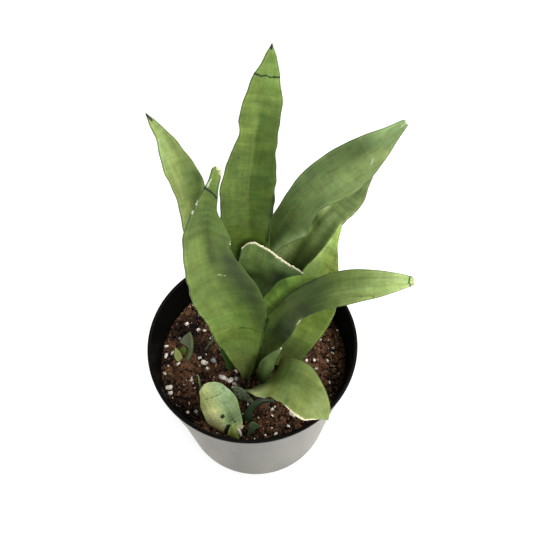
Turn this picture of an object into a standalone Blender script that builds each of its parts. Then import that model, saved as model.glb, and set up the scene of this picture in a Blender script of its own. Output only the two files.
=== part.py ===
"""Snake plant in a round nursery pot: pot, soil and every blade as its own closed solid.

Run with: blender --background --python part.py, or from Blender's text editor.
The origin is the middle of the pot's underside, +Z is up and -Y is the front.
"""

import math
import random

import bmesh
import bpy
import numpy as np

MM = 0.001

# Pot, in millimetres. The lip is the widest place.
POT_HEIGHT = 125.0
LIP_RADIUS = 76.0
LIP_HEIGHT = 3.4
LIP_WALL = 2.6
LIP_ROUND = 0.9
COLLAR_HEIGHT = 38.0
COLLAR_TOP_RADIUS = 75.0
COLLAR_FOOT_RADIUS = 70.9
BODY_TOP_RADIUS = 69.9
BASE_RADIUS = 62.3
BASE_ROUND = 2.5
WALL = 1.3
FLOOR = 2.2
FLOOR_CHAMFER = 2.0
FOOT_RING_INNER = 55.0
FOOT_DISC = 38.0
FOOT_RECESS = 1.0
DRAIN_HOLES = 8
DRAIN_RADIUS = 4.5
DRAIN_RING = 46.5
DRAIN_SIDES = 12
DRILL_LENGTH = 12.0
POT_STEPS = 48

# Soil, in millimetres. Its surface is a low mound with crumbs and grains raised from it.
SOIL_EDGE_Z = 97.0
SOIL_MOUND = 2.5
SOIL_GAP = 0.35
SOIL_RINGS = 12
SOIL_SEGMENTS = 36
RING_SPACING_POWER = 0.85
CRUMB = 1.3
GRAINS = 60
GRAIN_SIZES = (1.6, 3.2)
GRAIN_SPREAD = 2.2
SOIL_SEED = 7

# Blades, in millimetres.
ROOT_GAP = 0.4
ROW_LENGTH = 9.5
FEWEST_ROWS = 7
ACROSS = 6
SMALL_ACROSS = 4
THINNEST = 0.8
NARROWEST = 0.5
TIP_THINNING = 0.35
MARGIN_THINNING = 0.5
FOOT_FOLD = 0.45
FOOT_SHARE = 0.25
CUT_SHARE = 0.4

GREEN = (0.16, 0.26, 0.08, 1.0)
DEEP_GREEN = (0.07, 0.14, 0.05, 1.0)
SILVER_GREEN = (0.32, 0.42, 0.22, 1.0)
YELLOW_GREEN = (0.38, 0.38, 0.14, 1.0)
DRY_GREY = (0.11, 0.12, 0.10, 1.0)
POT_BLACK = (0.05, 0.047, 0.036, 1.0)
SOIL_BROWN = (0.035, 0.02, 0.013, 1.0)

BLADE_ROUGHNESS = 0.55
POT_ROUGHNESS = 0.35
SOIL_ROUGHNESS = 0.95

# A spine is the midline's points, from the buried foot to the tip. A width is (share of the length,
# mm to the left, mm to the right), as someone facing the blade's inner side sees it. Faces are the ways
# the inner side looks, at even steps from foot to tip. Fold is how far the margins stand off the midrib
# for each mm of width. Wave is (mm, number of waves, start). End is (share across, mm past the spine's
# end), the line along which a blade was cut.
BLADES = {
    "leaf_tall": dict(
        spine=[(0, 20, 82), (0, 20, 105), (1.7, 20, 145), (1.7, 22, 212), (2.7, 24, 255),
               (7.9, 27, 294), (13, 29, 324), (16, 31, 341)],
        widths=[(0, 7.5, 7.5), (0.2, 8, 8), (0.4, 11, 11), (0.5, 13.5, 12), (0.56, 15.5, 12),
                (0.62, 17, 14), (0.7, 16, 14), (0.76, 12.5, 12), (0.83, 10, 10.5),
                (0.88, 9.5, 9.8), (0.93, 7, 7.3), (0.97, 3.2, 4.2), (1, 0.6, 0.6)],
        faces=[(0.05, -1, 0.1), (0.05, -0.9, 0.4)], fold=0.35, wave=(0.8, 3.5, 0.0), thick=2.4),
    "leaf_left_front": dict(
        spine=[(-7, -18, 82), (-7, -18, 105), (-7, -19, 140), (-9, -21, 190), (-14, -25, 238),
               (-17, -27, 272), (-14, -26, 298), (-7.8, -24, 319.7)],
        widths=[(0, 2.5, 4), (0.1, 2.5, 4.5), (0.2, 7, 8.5), (0.3, 11, 13), (0.4, 14.5, 16.5),
                (0.5, 15.8, 19.6), (0.6, 17.2, 20.2), (0.65, 16.8, 18.5), (0.7, 15.2, 15),
                (0.76, 13.2, 11.4), (0.83, 11.2, 10.6), (0.9, 7, 4.3), (0.95, 3.6, 2.8), (1, 2.5, 1.8)],
        faces=[(0.15, -1, 0.1), (0.1, -0.8, 0.5)], fold=0.4, wave=(0.8, 3.0, 1.0), thick=2.4),
    "leaf_left_back": dict(
        spine=[(-14, -8, 82), (-14, -8, 105), (-18, -4, 145), (-23, 4, 195), (-29, 15, 235),
               (-34, 24, 270), (-40, 28, 292), (-47, 30, 305)],
        widths=[(0, 6, 6), (0.2, 8, 7), (0.4, 9, 9), (0.6, 8.6, 10.5), (0.7, 7.9, 10.5),
                (0.8, 7.3, 10), (0.85, 8.5, 8), (0.9, 7.2, 5), (0.95, 4, 2.6), (1, 0.6, 0.6)],
        faces=[(0.4, -1, 0.1), (0.35, -0.8, 0.5)], fold=0.35, wave=(0.8, 3.0, 2.0), thick=2.2),
    "leaf_right_upper": dict(
        spine=[(8, 27, 82), (8, 27, 105), (9, 29, 151), (14, 32, 191), (26.4, 36, 219), (42, 38, 241),
               (58, 40, 254), (74, 41, 269), (88.6, 43, 285)],
        widths=[(0, 6.5, 6.5), (0.3, 6.5, 6.5), (0.48, 8, 6), (0.55, 8.5, 12), (0.6, 8.5, 16),
                (0.66, 10, 13), (0.7, 11.3, 12), (0.75, 12.7, 14), (0.8, 13.3, 14.5), (0.85, 12.2, 13.2),
                (0.9, 9.8, 9.5), (0.95, 5.8, 5.2), (1, 1.8, 1.6)],
        faces=[(-0.4, -1, 0.1), (-0.4, -0.75, 0.5)], fold=0.3, wave=(0.8, 2.5, 0.5), thick=2.4),
    "leaf_right_inner": dict(
        spine=[(16, 33, 82), (16, 33, 105), (19, 36, 136), (28.4, 40, 166), (40.7, 44, 188.5),
               (57, 49, 213), (68, 52, 226), (79, 54, 238)],
        widths=[(0, 6.5, 6.5), (0.3, 8, 7), (0.5, 12, 12.3), (0.6, 13, 14.6), (0.7, 13, 13),
                (0.75, 12.6, 11.8), (0.8, 12, 12.6), (0.9, 9, 11.2), (0.96, 5, 5.3), (1, 1, 1)],
        faces=[(-0.45, -1, 0.1), (-0.45, -0.75, 0.5)], fold=0.3, wave=(0.7, 2.5, 2.5), thick=2.2),
    "leaf_right_back": dict(
        spine=[(21, -9, 82), (22, -8, 101), (29, -2, 126), (37, 3, 152), (42, 6, 178), (46, 9, 204),
               (50, 11, 222), (55, 12, 240)],
        widths=[(0, 7, 7), (0.1, 7.5, 9), (0.2, 9, 12.5), (0.3, 10.5, 14.8), (0.4, 12, 16.5),
                (0.5, 12.5, 18.2), (0.6, 12, 18), (0.7, 10.2, 15.8), (0.8, 4.8, 11.5),
                (0.9, 1.5, 4.8), (1, 0.6, 0.6)],
        faces=[(-0.4, -1, 0.1), (-0.4, -0.8, 0.5)], fold=0.25, wave=(0.7, 2.5, 0.0), thick=2.2),
    "leaf_right_long": dict(
        spine=[(9, -14, 82), (9, -14, 105), (10, -15, 145), (20, -16, 182), (36, -17, 205),
               (55, -18, 218), (76, -20, 224), (94, -20, 225)],
        widths=[(0, 9.5, 5.5), (0.12, 9.5, 5.5), (0.2, 7, 5.5), (0.3, 5, 6), (0.4, 6, 10.5), (0.5, 7, 12.5),
                (0.6, 7.8, 9.4), (0.7, 8.8, 9.5), (0.8, 9.5, 10.5), (0.9, 7.2, 7.8),
                (0.97, 4, 4), (1, 2.2, 2.2)],
        faces=[(-0.4, -1, 0.1), (-0.3, -0.7, 0.65), (-0.1, -0.6, 0.8)], fold=0.2,
        wave=(0.5, 2.5, 1.5), thick=2.4),
    "leaf_centre_fold": dict(
        spine=[(4, -5, 82), (4, -5, 105), (7, -6, 140), (12, -7, 172), (24, -8, 196), (36, -10, 207),
               (54, -12, 209)],
        widths=[(0, 6, 6), (0.3, 6, 6), (0.5, 7.4, 7), (0.6, 8, 8), (0.7, 8.2, 8.5), (0.8, 9.2, 8),
                (0.9, 6.4, 5), (1, 1, 1)],
        faces=[(-0.4, -1, 0.1), (-0.3, -0.7, 0.65), (-0.1, -0.6, 0.8)], fold=0.25,
        wave=(0.4, 2.0, 0.0), thick=2.2),
    "leaf_cut_centre": dict(
        spine=[(1, 4, 82), (1, 4, 105), (4, 5, 140), (8, 8, 172), (15.5, 12, 207)],
        widths=[(0, 7, 7), (0.2, 8, 8), (0.4, 11, 10), (0.6, 15, 15.5), (0.8, 18.5, 19),
                (1, 19.5, 21.8)],
        faces=[(-0.3, -1, 0.1), (-0.25, -0.8, 0.3)], fold=0.3, wave=(0.8, 1.5, 0.0), thick=2.2,
        end=[(-1, 3.5), (-0.9, 7), (-0.72, 9.5), (-0.44, 7.5), (-0.15, 5.3), (0.16, 2.3), (0.45, 1.6),
             (1, 3.3)]),
    "leaf_front_right": dict(
        spine=[(-4, -28, 82), (-3, -29, 98), (6, -33, 110), (13, -36, 122), (21, -40, 136),
               (30, -46, 143), (37, -54, 145), (44, -60, 141), (49, -66, 135)],
        widths=[(0, 5, 5), (0.2, 6, 5), (0.3, 6.5, 8.2), (0.36, 8.2, 9.5), (0.42, 14.5, 10.2),
                (0.5, 18, 10.5), (0.6, 17, 13), (0.7, 16, 14.5), (0.8, 13, 14.6), (0.9, 7.5, 11.6),
                (1, 1.2, 1.2)],
        faces=[(0.3, 1, 0.3), (-0.2, 0.3, 1), (-0.4, -0.1, 1), (-0.4, -0.1, 1)], fold=0.15,
        wave=(0.5, 2.0, 1.0), thick=2.2),
}

SMALL_BLADES = {
    "basal_scale": dict(
        spine=[(7, -24, 86), (8, -24.5, 102), (8.5, -25.5, 124), (12, -28, 146), (20, -30, 168)],
        widths=[(0, 3.5, 6), (0.3, 4, 6.8), (0.5, 5.4, 5.2), (0.7, 4.5, 4), (0.9, 2, 1.8),
                (1, 0.6, 0.6)],
        faces=[(0.3, 0.9, 0.2), (0.3, 0.9, 0.3)], fold=0.3, wave=(0.2, 1.0, 0.0), thick=1.8,
        tint=DEEP_GREEN),
    "pup_front_leaf": dict(
        spine=[(-17, -61, 86), (-17.5, -60, 99), (-20, -54, 108), (-25, -44, 117), (-32.5, -33, 122)],
        widths=[(0, 4, 4), (0.24, 6, 6), (0.32, 10.5, 9.6), (0.4, 11.4, 12.5), (0.5, 12.2, 13.6),
                (0.6, 12.8, 13.4), (0.7, 12.2, 13), (0.8, 10.6, 12.2), (0.9, 8.4, 9), (1, 3.5, 6.5)],
        faces=[(0.1, 1, 0.2), (0.1, 0.5, -0.9), (0.1, 0.4, -0.9)], fold=0.3,
        wave=(0.4, 1.5, 0.0), thick=1.8, tint=SILVER_GREEN),
    "pup_front_spear": dict(
        spine=[(-33, -41, 86), (-34, -40, 99), (-37, -33, 110), (-38, -27, 122)],
        widths=[(0, 1.8, 1.8), (0.5, 2.4, 2.4), (0.8, 2, 2), (1, 0.6, 0.6)],
        faces=[(1, 0, 0.1), (1, 0, 0.1)], fold=0.2, wave=(0, 1, 0), thick=1.2, tint=SILVER_GREEN),
    "pup_front_stub": dict(
        spine=[(-13, -65.5, 88), (-13, -65.5, 98), (-13.5, -63, 106), (-14, -58, 112)],
        widths=[(0, 3, 3), (0.6, 3, 3), (1, 1, 1)],
        faces=[(0, 1, 0.1), (0, 1, 0.1)], fold=0.2, wave=(0, 1, 0), thick=1.3, tint=YELLOW_GREEN),
    "pup_left_hood": dict(
        spine=[(-51, -3.5, 88), (-50.5, -3, 99), (-47.2, 0, 106), (-46.2, 3.5, 112), (-46.6, 10, 119)],
        widths=[(0, 2, 2), (0.35, 2, 2), (0.58, 2, 2.2), (0.66, 3.2, 2.3), (0.74, 7.2, 2.4),
                (0.84, 6.8, 2.2), (0.93, 4, 1.4), (1, 0.6, 0.6)],
        faces=[(-0.6, -0.8, 0.1), (-0.4, -0.8, 0.4)], fold=0.3,
        wave=(0, 1, 0), thick=1.3, tint=DEEP_GREEN),
    "pup_left_spear": dict(
        spine=[(-53.2, 1.5, 88), (-53.2, 1.5, 98), (-53.3, 2.8, 103), (-52.6, 4.8, 107)],
        widths=[(0, 2, 2), (0.7, 3, 3), (0.85, 2.2, 2.2), (1, 0.5, 0.5)],
        faces=[(0, 1, 0.1), (0, 1, 0.1)], fold=0.3, wave=(0, 1, 0), thick=1.2, tint=GREEN),
    "pup_left_scale": dict(
        spine=[(-55.5, -5, 88), (-55.6, -4.5, 97), (-57.2, -0.8, 102.5), (-58.8, 3.2, 108)],
        widths=[(0, 2.5, 2.5), (0.5, 2.9, 2.9), (0.75, 2.6, 2.6), (1, 0.5, 0.5)],
        faces=[(0.4, -0.8, 0.2), (0.5, -0.7, 0.5)], fold=0.2, wave=(0, 1, 0), thick=1.2,
        tint=YELLOW_GREEN),
    "pup_shade_arch": dict(
        spine=[(-2, -53.5, 86), (-2.5, -53.5, 98), (-3.5, -51.3, 106), (-1, -47.7, 112.5),
               (5, -44.7, 116), (15.5, -43.5, 113.5)],
        widths=[(0, 1.8, 1.8), (0.28, 2.2, 2.4), (0.36, 2.8, 4.4), (0.44, 2.8, 3.2), (0.55, 2.4, 2.4),
                (0.8, 2.1, 2.1), (1, 0.6, 0.6)],
        faces=[(0.3, 1, 0.2), (0.4, 0.7, -0.8)], fold=0.3, wave=(0, 1, 0), thick=1.4,
        tint=DEEP_GREEN),
    "pup_shade_lobe": dict(
        spine=[(-4, -62, 86), (-3.6, -61.8, 97.5), (-1.8, -59, 103), (-0.2, -55.8, 108)],
        widths=[(0, 1.6, 1.6), (0.6, 1.4, 1.8), (0.8, 1.6, 3.6), (0.93, 2.2, 6), (1, 2.4, 4.5)],
        faces=[(0, -1, 0.2), (0, -0.8, 0.6)], fold=0.2, wave=(0, 1, 0), thick=1.3, tint=DEEP_GREEN),
    "dry_scale": dict(
        spine=[(-2.5, -37.5, 90), (-3, -37.5, 99), (-8, -34.5, 104), (-15.5, -28.5, 105.5)],
        widths=[(0, 2.5, 2.5), (0.4, 3.2, 3.2), (0.6, 4.2, 4.4), (0.8, 3.8, 3.8), (1, 1.5, 1.5)],
        faces=[(0, 1, 0.2), (0.1, 0.6, -0.8)], fold=0.2, wave=(0.3, 1, 0), thick=1.2,
        tint=DRY_GREY),
    "dry_curl": dict(
        spine=[(-36.5, 4, 92), (-36.4, 4.6, 99), (-34.6, 6.8, 102), (-31, 10.2, 105),
               (-32.9, 12.6, 107.5)],
        widths=[(0, 0.8, 0.8), (0.5, 1, 1), (0.8, 1.3, 1.3), (1, 0.5, 0.5)],
        faces=[(-0.3, 0.3, 1), (-0.3, 0.3, 1)], fold=0.2, wave=(0, 1, 0), thick=0.9,
        tint=SILVER_GREEN),
}


def clear_scene():
    for obj in list(bpy.data.objects):
        bpy.data.objects.remove(obj)


def new_collection(name):
    collection = bpy.data.collections.new(name)
    bpy.context.scene.collection.children.link(collection)
    return collection


def finish(name, colour, roughness):
    """A Principled material with one colour and roughness."""
    material = bpy.data.materials.new(name)
    material.use_nodes = True
    shader = material.node_tree.nodes["Principled BSDF"]
    shader.inputs["Base Color"].default_value = colour
    shader.inputs["Roughness"].default_value = roughness
    shader.inputs["Metallic"].default_value = 0.0
    return material


def mesh_from(bm, name):
    mesh = bpy.data.meshes.new(name)
    bm.to_mesh(mesh)
    bm.free()
    return mesh


def add_piece(name, mesh, collection, material):
    obj = bpy.data.objects.new(name, mesh)
    collection.objects.link(obj)
    mesh.materials.append(material)
    return obj


def add_cutter(name, mesh, collection):
    """A cutter never shows: it only takes its shape out of another piece."""
    obj = bpy.data.objects.new(name, mesh)
    collection.objects.link(obj)
    obj.hide_render = True
    obj.display_type = "WIRE"
    return obj


def cut_with(obj, cutters):
    for cutter in cutters:
        modifier = obj.modifiers.new(cutter.name, "BOOLEAN")
        modifier.object = cutter


def smooth_through(knots, values, at):
    """Cubic curve through the knots, with each slope taken from the neighbours."""
    knots = np.asarray(knots, float)
    values = np.asarray(values, float)
    slopes = np.gradient(values, knots, axis=0)
    at = np.clip(at, knots[0], knots[-1])
    index = np.clip(np.searchsorted(knots, at, side="right") - 1, 0, len(knots) - 2)
    step = (knots[index + 1] - knots[index])[:, None]
    s = (at - knots[index])[:, None] / step
    return (
        (1 + 2 * s) * (1 - s) ** 2 * values[index]
        + s * (1 - s) ** 2 * step * slopes[index]
        + s * s * (3 - 2 * s) * values[index + 1]
        + s * s * (s - 1) * step * slopes[index + 1]
    )


def unit(vectors):
    return vectors / np.linalg.norm(vectors, axis=1, keepdims=True)


class Blade:
    """The middle surface of one blade, as rows across it from foot to tip, in millimetres."""

    def __init__(self, spec):
        self.spine = np.asarray(spec["spine"], float)
        runs = np.linalg.norm(np.diff(self.spine, axis=0), axis=1)
        self.length = runs.sum()
        self.knots = np.concatenate([[0.0], np.cumsum(runs)]) / self.length
        self.widths = np.asarray(spec["widths"], float)
        self.faces = np.asarray(spec["faces"], float)
        self.fold = spec["fold"]
        self.wave = spec["wave"]
        self.thick = spec["thick"]
        self.end = np.asarray(spec.get("end", [(-1, 0), (1, 0)]), float)

    def middle(self, t):
        return smooth_through(self.knots, self.spine, t)

    def axes(self, t):
        """Lengthwise, inner-side and rightward directions at each share t of the length."""
        step = 0.001
        along = unit(self.middle(t + step) - self.middle(t - step))
        at = np.linspace(0, 1, len(self.faces))
        face = np.stack([np.interp(t, at, self.faces[:, k]) for k in range(3)], axis=1)
        normal = unit(face - along * (face * along).sum(axis=1, keepdims=True))
        return along, normal, np.cross(along, normal)

    def row_points(self, t, across, extra=0.0):
        """Points of shape (rows, across + 1, 3). Extra widens each side by that many mm."""
        along, normal, right = self.axes(t)
        sides = smooth_through(self.widths[:, 0], self.widths[:, 1:], t)
        sides = np.maximum(sides, NARROWEST) + extra
        u = np.linspace(-1, 1, across + 1)
        reach = np.where(u < 0, sides[:, :1], sides[:, 1:]) * u
        foot_fold = FOOT_FOLD * np.clip(1 - t / FOOT_SHARE, 0, 1)[:, None]
        lift = (self.fold + foot_fold) * reach**2 / sides.mean(axis=1, keepdims=True)
        size, count, start = self.wave
        fade = np.clip((t - 0.3) / 0.2, 0, 1) * np.clip((1 - t) / 0.1, 0, 1)
        ripple = np.sin(2 * math.pi * count * t[:, None] + start + 1.3 * (u > 0))
        lift = lift + size * fade[:, None] * ripple * u**2
        near_end = np.clip((t - 1 + CUT_SHARE) / CUT_SHARE, 0, 1)[:, None]
        rise = smooth_through(self.end[:, 0], self.end[:, 1:], u)[:, 0] * near_end
        return (
            self.middle(t)[:, None]
            + right[:, None] * reach[..., None]
            + normal[:, None] * lift[..., None]
            + along[:, None] * rise[..., None]
        )


def grid_mesh(name, points):
    """An open grid of triangles, so that Solidify splits both faces of the blade alike."""
    rows, columns = points.shape[:2]
    bm = bmesh.new()
    grid = [[bm.verts.new(point * MM) for point in row] for row in points]
    for i in range(rows - 1):
        for j in range(columns - 1):
            a, b, c, d = grid[i][j], grid[i][j + 1], grid[i + 1][j + 1], grid[i + 1][j]
            if j < (columns - 1) / 2:
                bm.faces.new((a, b, d))
                bm.faces.new((b, c, d))
            else:
                bm.faces.new((a, b, c))
                bm.faces.new((a, c, d))
    mesh = mesh_from(bm, name)
    mesh.shade_smooth()
    return mesh


def give_thickness(obj, thick, shares):
    """Solidify with a share of the thickness at each vertex, in the order of the grid."""
    group = obj.vertex_groups.new(name="thickness")
    for index, share in enumerate(shares.ravel()):
        group.add([index], float(share), "REPLACE")
    solid = obj.modifiers.new("thickness", "SOLIDIFY")
    solid.thickness = thick * MM
    solid.offset = 0.0
    solid.vertex_group = "thickness"
    solid.thickness_vertex_group = 0.0


def build_blade(name, spec, across, parts, cutters):
    """A blade that is thickest along its midrib and near its foot, and its hole in the soil."""
    blade = Blade(spec)
    rows = max(FEWEST_ROWS, round(blade.length / ROW_LENGTH) + 1)
    t = np.linspace(0, 1, rows)
    u = np.linspace(-1, 1, across + 1)
    material = finish(name + "_finish", spec.get("tint", GREEN), BLADE_ROUGHNESS)
    obj = add_piece(name, grid_mesh(name, blade.row_points(t, across)), parts, material)
    shares = (1 - TIP_THINNING * t)[:, None] * (1 - MARGIN_THINNING * u**2)
    give_thickness(obj, blade.thick, np.maximum(shares, THINNEST / blade.thick))
    build_hole(name + "_hole", blade, t, across, cutters)


def build_hole(name, blade, t, across, cutters):
    """The plain hole in the soil that a blade's foot stands in, as a cutter. It has the blade's own
    rows up to the first that is clear of the soil, so the gap is even."""
    clear = blade.middle(t)[:, 2] > SOIL_EDGE_Z + SOIL_MOUND + CRUMB + GRAIN_SIZES[1]
    points = blade.row_points(t[: np.argmax(clear) + 1], across, ROOT_GAP)
    points[0, :, 2] -= ROOT_GAP
    cutter = add_cutter(name, grid_mesh(name, points), cutters)
    give_thickness(cutter, blade.thick + 2 * ROOT_GAP, np.ones(points.shape[:2]))


def inner_wall():
    """The pot's inner wall from the floor up to the lip, as (radius, height) in mm."""
    step_z = POT_HEIGHT - COLLAR_HEIGHT
    return [
        (BASE_RADIUS - WALL - FLOOR_CHAMFER, FLOOR),
        (BASE_RADIUS - WALL, FLOOR + FLOOR_CHAMFER),
        (BODY_TOP_RADIUS - WALL, step_z - 1.2),
        (COLLAR_FOOT_RADIUS - WALL, step_z + 1.0),
        (COLLAR_TOP_RADIUS - WALL - 0.3, POT_HEIGHT - LIP_HEIGHT - 0.6),
    ]


def inner_radius(z):
    radii, heights = zip(*inner_wall())
    return float(np.interp(z, heights, radii))


def pot_profile():
    """The wall's section, from the inner floor's middle round to the underside's middle, in mm."""
    step_z = POT_HEIGHT - COLLAR_HEIGHT
    lip_middle = LIP_RADIUS - LIP_WALL / 2
    lip_z = POT_HEIGHT - LIP_ROUND
    lip = []
    for angle in np.linspace(math.pi, 0, 5):
        lip.append((lip_middle + LIP_WALL / 2 * math.cos(angle), lip_z + LIP_ROUND * math.sin(angle)))
    outer_wall = [
        (LIP_RADIUS, POT_HEIGHT - LIP_HEIGHT + 0.5),
        (LIP_RADIUS - 0.5, POT_HEIGHT - LIP_HEIGHT),
        (COLLAR_TOP_RADIUS, POT_HEIGHT - LIP_HEIGHT - 0.2),
        (COLLAR_FOOT_RADIUS, step_z + 0.4),
        (COLLAR_FOOT_RADIUS - 0.4, step_z),
        (BODY_TOP_RADIUS, step_z - 0.2),
        (BASE_RADIUS, BASE_ROUND),
        (BASE_RADIUS - 0.7, 0.7),
        (BASE_RADIUS - BASE_ROUND, 0.0),
    ]
    underside = [
        (FOOT_RING_INNER, 0.0),
        (FOOT_RING_INNER - 1.0, FOOT_RECESS),
        (FOOT_DISC + 1.0, FOOT_RECESS),
        (FOOT_DISC, 0.0),
        (0.0, 0.0),
    ]
    return [(0.0, FLOOR)] + inner_wall() + lip + outer_wall + underside


def build_drills(cutters):
    """A ring of drills for the drain holes, through the recessed part of the floor."""
    for k in range(DRAIN_HOLES):
        angle = 2 * math.pi * (k + 0.5) / DRAIN_HOLES
        bm = bmesh.new()
        bmesh.ops.create_cone(bm, cap_ends=True, segments=DRAIN_SIDES, radius1=DRAIN_RADIUS * MM,
                              radius2=DRAIN_RADIUS * MM, depth=DRILL_LENGTH * MM)
        drill = add_cutter(f"drain_{k}", mesh_from(bm, f"drain_{k}"), cutters)
        drill.location = (DRAIN_RING * math.cos(angle) * MM, DRAIN_RING * math.sin(angle) * MM, 0)


def build_pot(parts, drills):
    bm = bmesh.new()
    verts = [bm.verts.new((radius * MM, 0.0, z * MM)) for radius, z in pot_profile()]
    for a, b in zip(verts, verts[1:]):
        bm.edges.new((a, b))
    pot = add_piece("pot", mesh_from(bm, "pot"), parts, finish("pot_finish", POT_BLACK, POT_ROUGHNESS))
    screw = pot.modifiers.new("turn", "SCREW")
    screw.steps = POT_STEPS
    screw.render_steps = POT_STEPS
    screw.use_merge_vertices = True
    screw.merge_threshold = 0.0001
    cut_with(pot, drills.objects)


def soil_height(x, y, grains):
    rim = inner_radius(SOIL_EDGE_Z)
    z = SOIL_EDGE_Z + SOIL_MOUND * (1 - (x * x + y * y) / rim**2)
    z += CRUMB * 0.5 * math.sin(0.31 * x + 1.3) * math.sin(0.27 * y + 0.4)
    for grain_x, grain_y, size in grains:
        near = math.hypot(x - grain_x, y - grain_y) / (GRAIN_SPREAD * size)
        if near < 1:
            z += size * 0.5 * (1 - near * near)
    return z


def scatter_grains(rng, rim):
    grains = []
    for _ in range(GRAINS):
        angle = rng.uniform(0, 2 * math.pi)
        radius = rim * math.sqrt(rng.uniform(0, 0.9))
        grains.append((radius * math.cos(angle), radius * math.sin(angle), rng.uniform(*GRAIN_SIZES)))
    return grains


def turned_ring(bm, radius, heights, turn):
    """A ring of vertices about the axis, turned by a share of the step between two of them."""
    ring = []
    for k, z in enumerate(heights):
        angle = 2 * math.pi * (k + turn) / SOIL_SEGMENTS
        x, y = radius * math.cos(angle), radius * math.sin(angle)
        ring.append(bm.verts.new((x * MM, y * MM, (z(x, y) if callable(z) else z) * MM)))
    return ring


def build_soil(parts, cutters):
    rng = random.Random(SOIL_SEED)
    rim = inner_radius(SOIL_EDGE_Z) - SOIL_GAP
    grains = scatter_grains(rng, rim)

    def crumbly(x, y):
        return soil_height(x, y, grains) + rng.uniform(-0.5, 0.5) * CRUMB

    bm = bmesh.new()
    middle = bm.verts.new((0, 0, soil_height(0, 0, grains) * MM))
    bottom_z = FLOOR + SOIL_GAP
    bottom = bm.verts.new((0, 0, bottom_z * MM))
    rings = []
    for i in range(1, SOIL_RINGS):
        radius = rim * (i / SOIL_RINGS) ** RING_SPACING_POWER
        rings.append(turned_ring(bm, radius, [crumbly] * SOIL_SEGMENTS, 0.5 * (i % 2)))
    sides = [(rim, SOIL_EDGE_Z)]
    for radius, z in reversed(inner_wall()[:4]):
        sides.append((radius - SOIL_GAP, max(z, bottom_z)))
    for radius, z in sides:
        rings.append(turned_ring(bm, radius, [z] * SOIL_SEGMENTS, 0.5 * (SOIL_RINGS % 2)))
    for k in range(SOIL_SEGMENTS):
        after = (k + 1) % SOIL_SEGMENTS
        bm.faces.new((middle, rings[0][k], rings[0][after]))
        bm.faces.new((bottom, rings[-1][after], rings[-1][k]))
        for upper, lower in zip(rings, rings[1:]):
            bm.faces.new((upper[k], lower[k], lower[after]))
            bm.faces.new((upper[k], lower[after], upper[after]))
    mesh = mesh_from(bm, "soil")
    mesh.shade_smooth()
    soil = add_piece("soil", mesh, parts, finish("soil_finish", SOIL_BROWN, SOIL_ROUGHNESS))
    cut_with(soil, cutters.objects)


def main():
    clear_scene()
    parts = new_collection("potted_snake_plant")
    holes = new_collection("root_holes")
    drills = new_collection("pot_drills")
    for name, spec in BLADES.items():
        build_blade(name, spec, ACROSS, parts, holes)
    for name, spec in SMALL_BLADES.items():
        build_blade(name, spec, SMALL_ACROSS, parts, holes)
    build_soil(parts, holes)
    build_drills(drills)
    build_pot(parts, drills)


main()
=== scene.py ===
"""Looks of a snake plant in a round nursery pot: the pot, its soil and every blade, in one frame.

The file is laid out as a Blender add-on and is run as a script. Each operator makes one piece or one
group of like pieces where the frame has them, and main() calls them in order. Sizes in the tables are
in millimetres, the origin is the middle of the pot's underside, +Z is up and -Y is the front.
"""

import math
from functools import partial

import bpy
import numpy as np
from bpy.props import FloatProperty, FloatVectorProperty, IntProperty, PointerProperty
from mathutils import Matrix, Vector


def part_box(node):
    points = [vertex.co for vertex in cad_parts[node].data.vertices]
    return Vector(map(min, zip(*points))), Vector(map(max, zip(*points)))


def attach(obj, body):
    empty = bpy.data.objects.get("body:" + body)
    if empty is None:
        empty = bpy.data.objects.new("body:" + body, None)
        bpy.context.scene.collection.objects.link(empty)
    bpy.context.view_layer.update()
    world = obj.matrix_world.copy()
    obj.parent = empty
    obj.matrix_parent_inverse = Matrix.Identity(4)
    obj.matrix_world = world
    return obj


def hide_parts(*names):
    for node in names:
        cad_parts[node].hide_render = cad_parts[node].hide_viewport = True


bl_info = {
    "name": "Potted Snake Plant",
    "version": (1, 0, 0),
    "blender": (4, 5, 0),
    "location": "View3D > Sidebar > Snake Plant",
    "description": "Makes a young snake plant in a nursery pot, with its soil and a plain stage",
    "category": "Add Mesh",
}

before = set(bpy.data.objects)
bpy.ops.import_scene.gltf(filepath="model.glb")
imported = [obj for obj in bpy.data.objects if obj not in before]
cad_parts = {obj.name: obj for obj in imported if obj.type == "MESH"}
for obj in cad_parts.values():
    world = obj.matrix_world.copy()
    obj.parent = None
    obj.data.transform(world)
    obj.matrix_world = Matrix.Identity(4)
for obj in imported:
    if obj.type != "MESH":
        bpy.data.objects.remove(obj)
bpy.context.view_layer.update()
POT_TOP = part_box("pot")[1]

MM = 0.001
TURN = 2 * math.pi

# Pot, as in the frame. Lengths are in millimetres.
POT_HEIGHT = POT_TOP.z / MM
LIP_RADIUS = POT_TOP.x / MM
LIP_HEIGHT = 3.4
LIP_WALL = 2.6
LIP_BLACK = 1.0
COLLAR_HEIGHT = 38.0
COLLAR_TOP_RADIUS = 75.0
COLLAR_FOOT_RADIUS = 70.9
BODY_TOP_RADIUS = 69.9
STEP_GROOVE = 0.6
BASE_RADIUS = 62.3
BASE_ROUND = 2.5
WALL = 1.3
FLOOR = 2.2
FLOOR_CHAMFER = 2.0
FOOT_RING_INNER = 55.0
FOOT_DISC = 38.0
FOOT_RECESS = 1.0
DRAIN_HOLES = 8
DRAIN_RADIUS = 4.5
DRAIN_RING = 46.5
DRILL_SIDES = 28
DRILL_DEPTH = 12.0
MERGE_GAP = 0.008
POT_SHARP_ANGLE = math.radians(50)

# Soil. Lengths are in millimetres.
SOIL_EDGE_Z = 97.0
SOIL_MOUND = 2.5
SOIL_GAP = 0.35
SOIL_SHARP_ANGLE = math.radians(60)
PATTERN_SHIFT = 200
LATTICE = 97
LUMP_SIZE = 1.2

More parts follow.
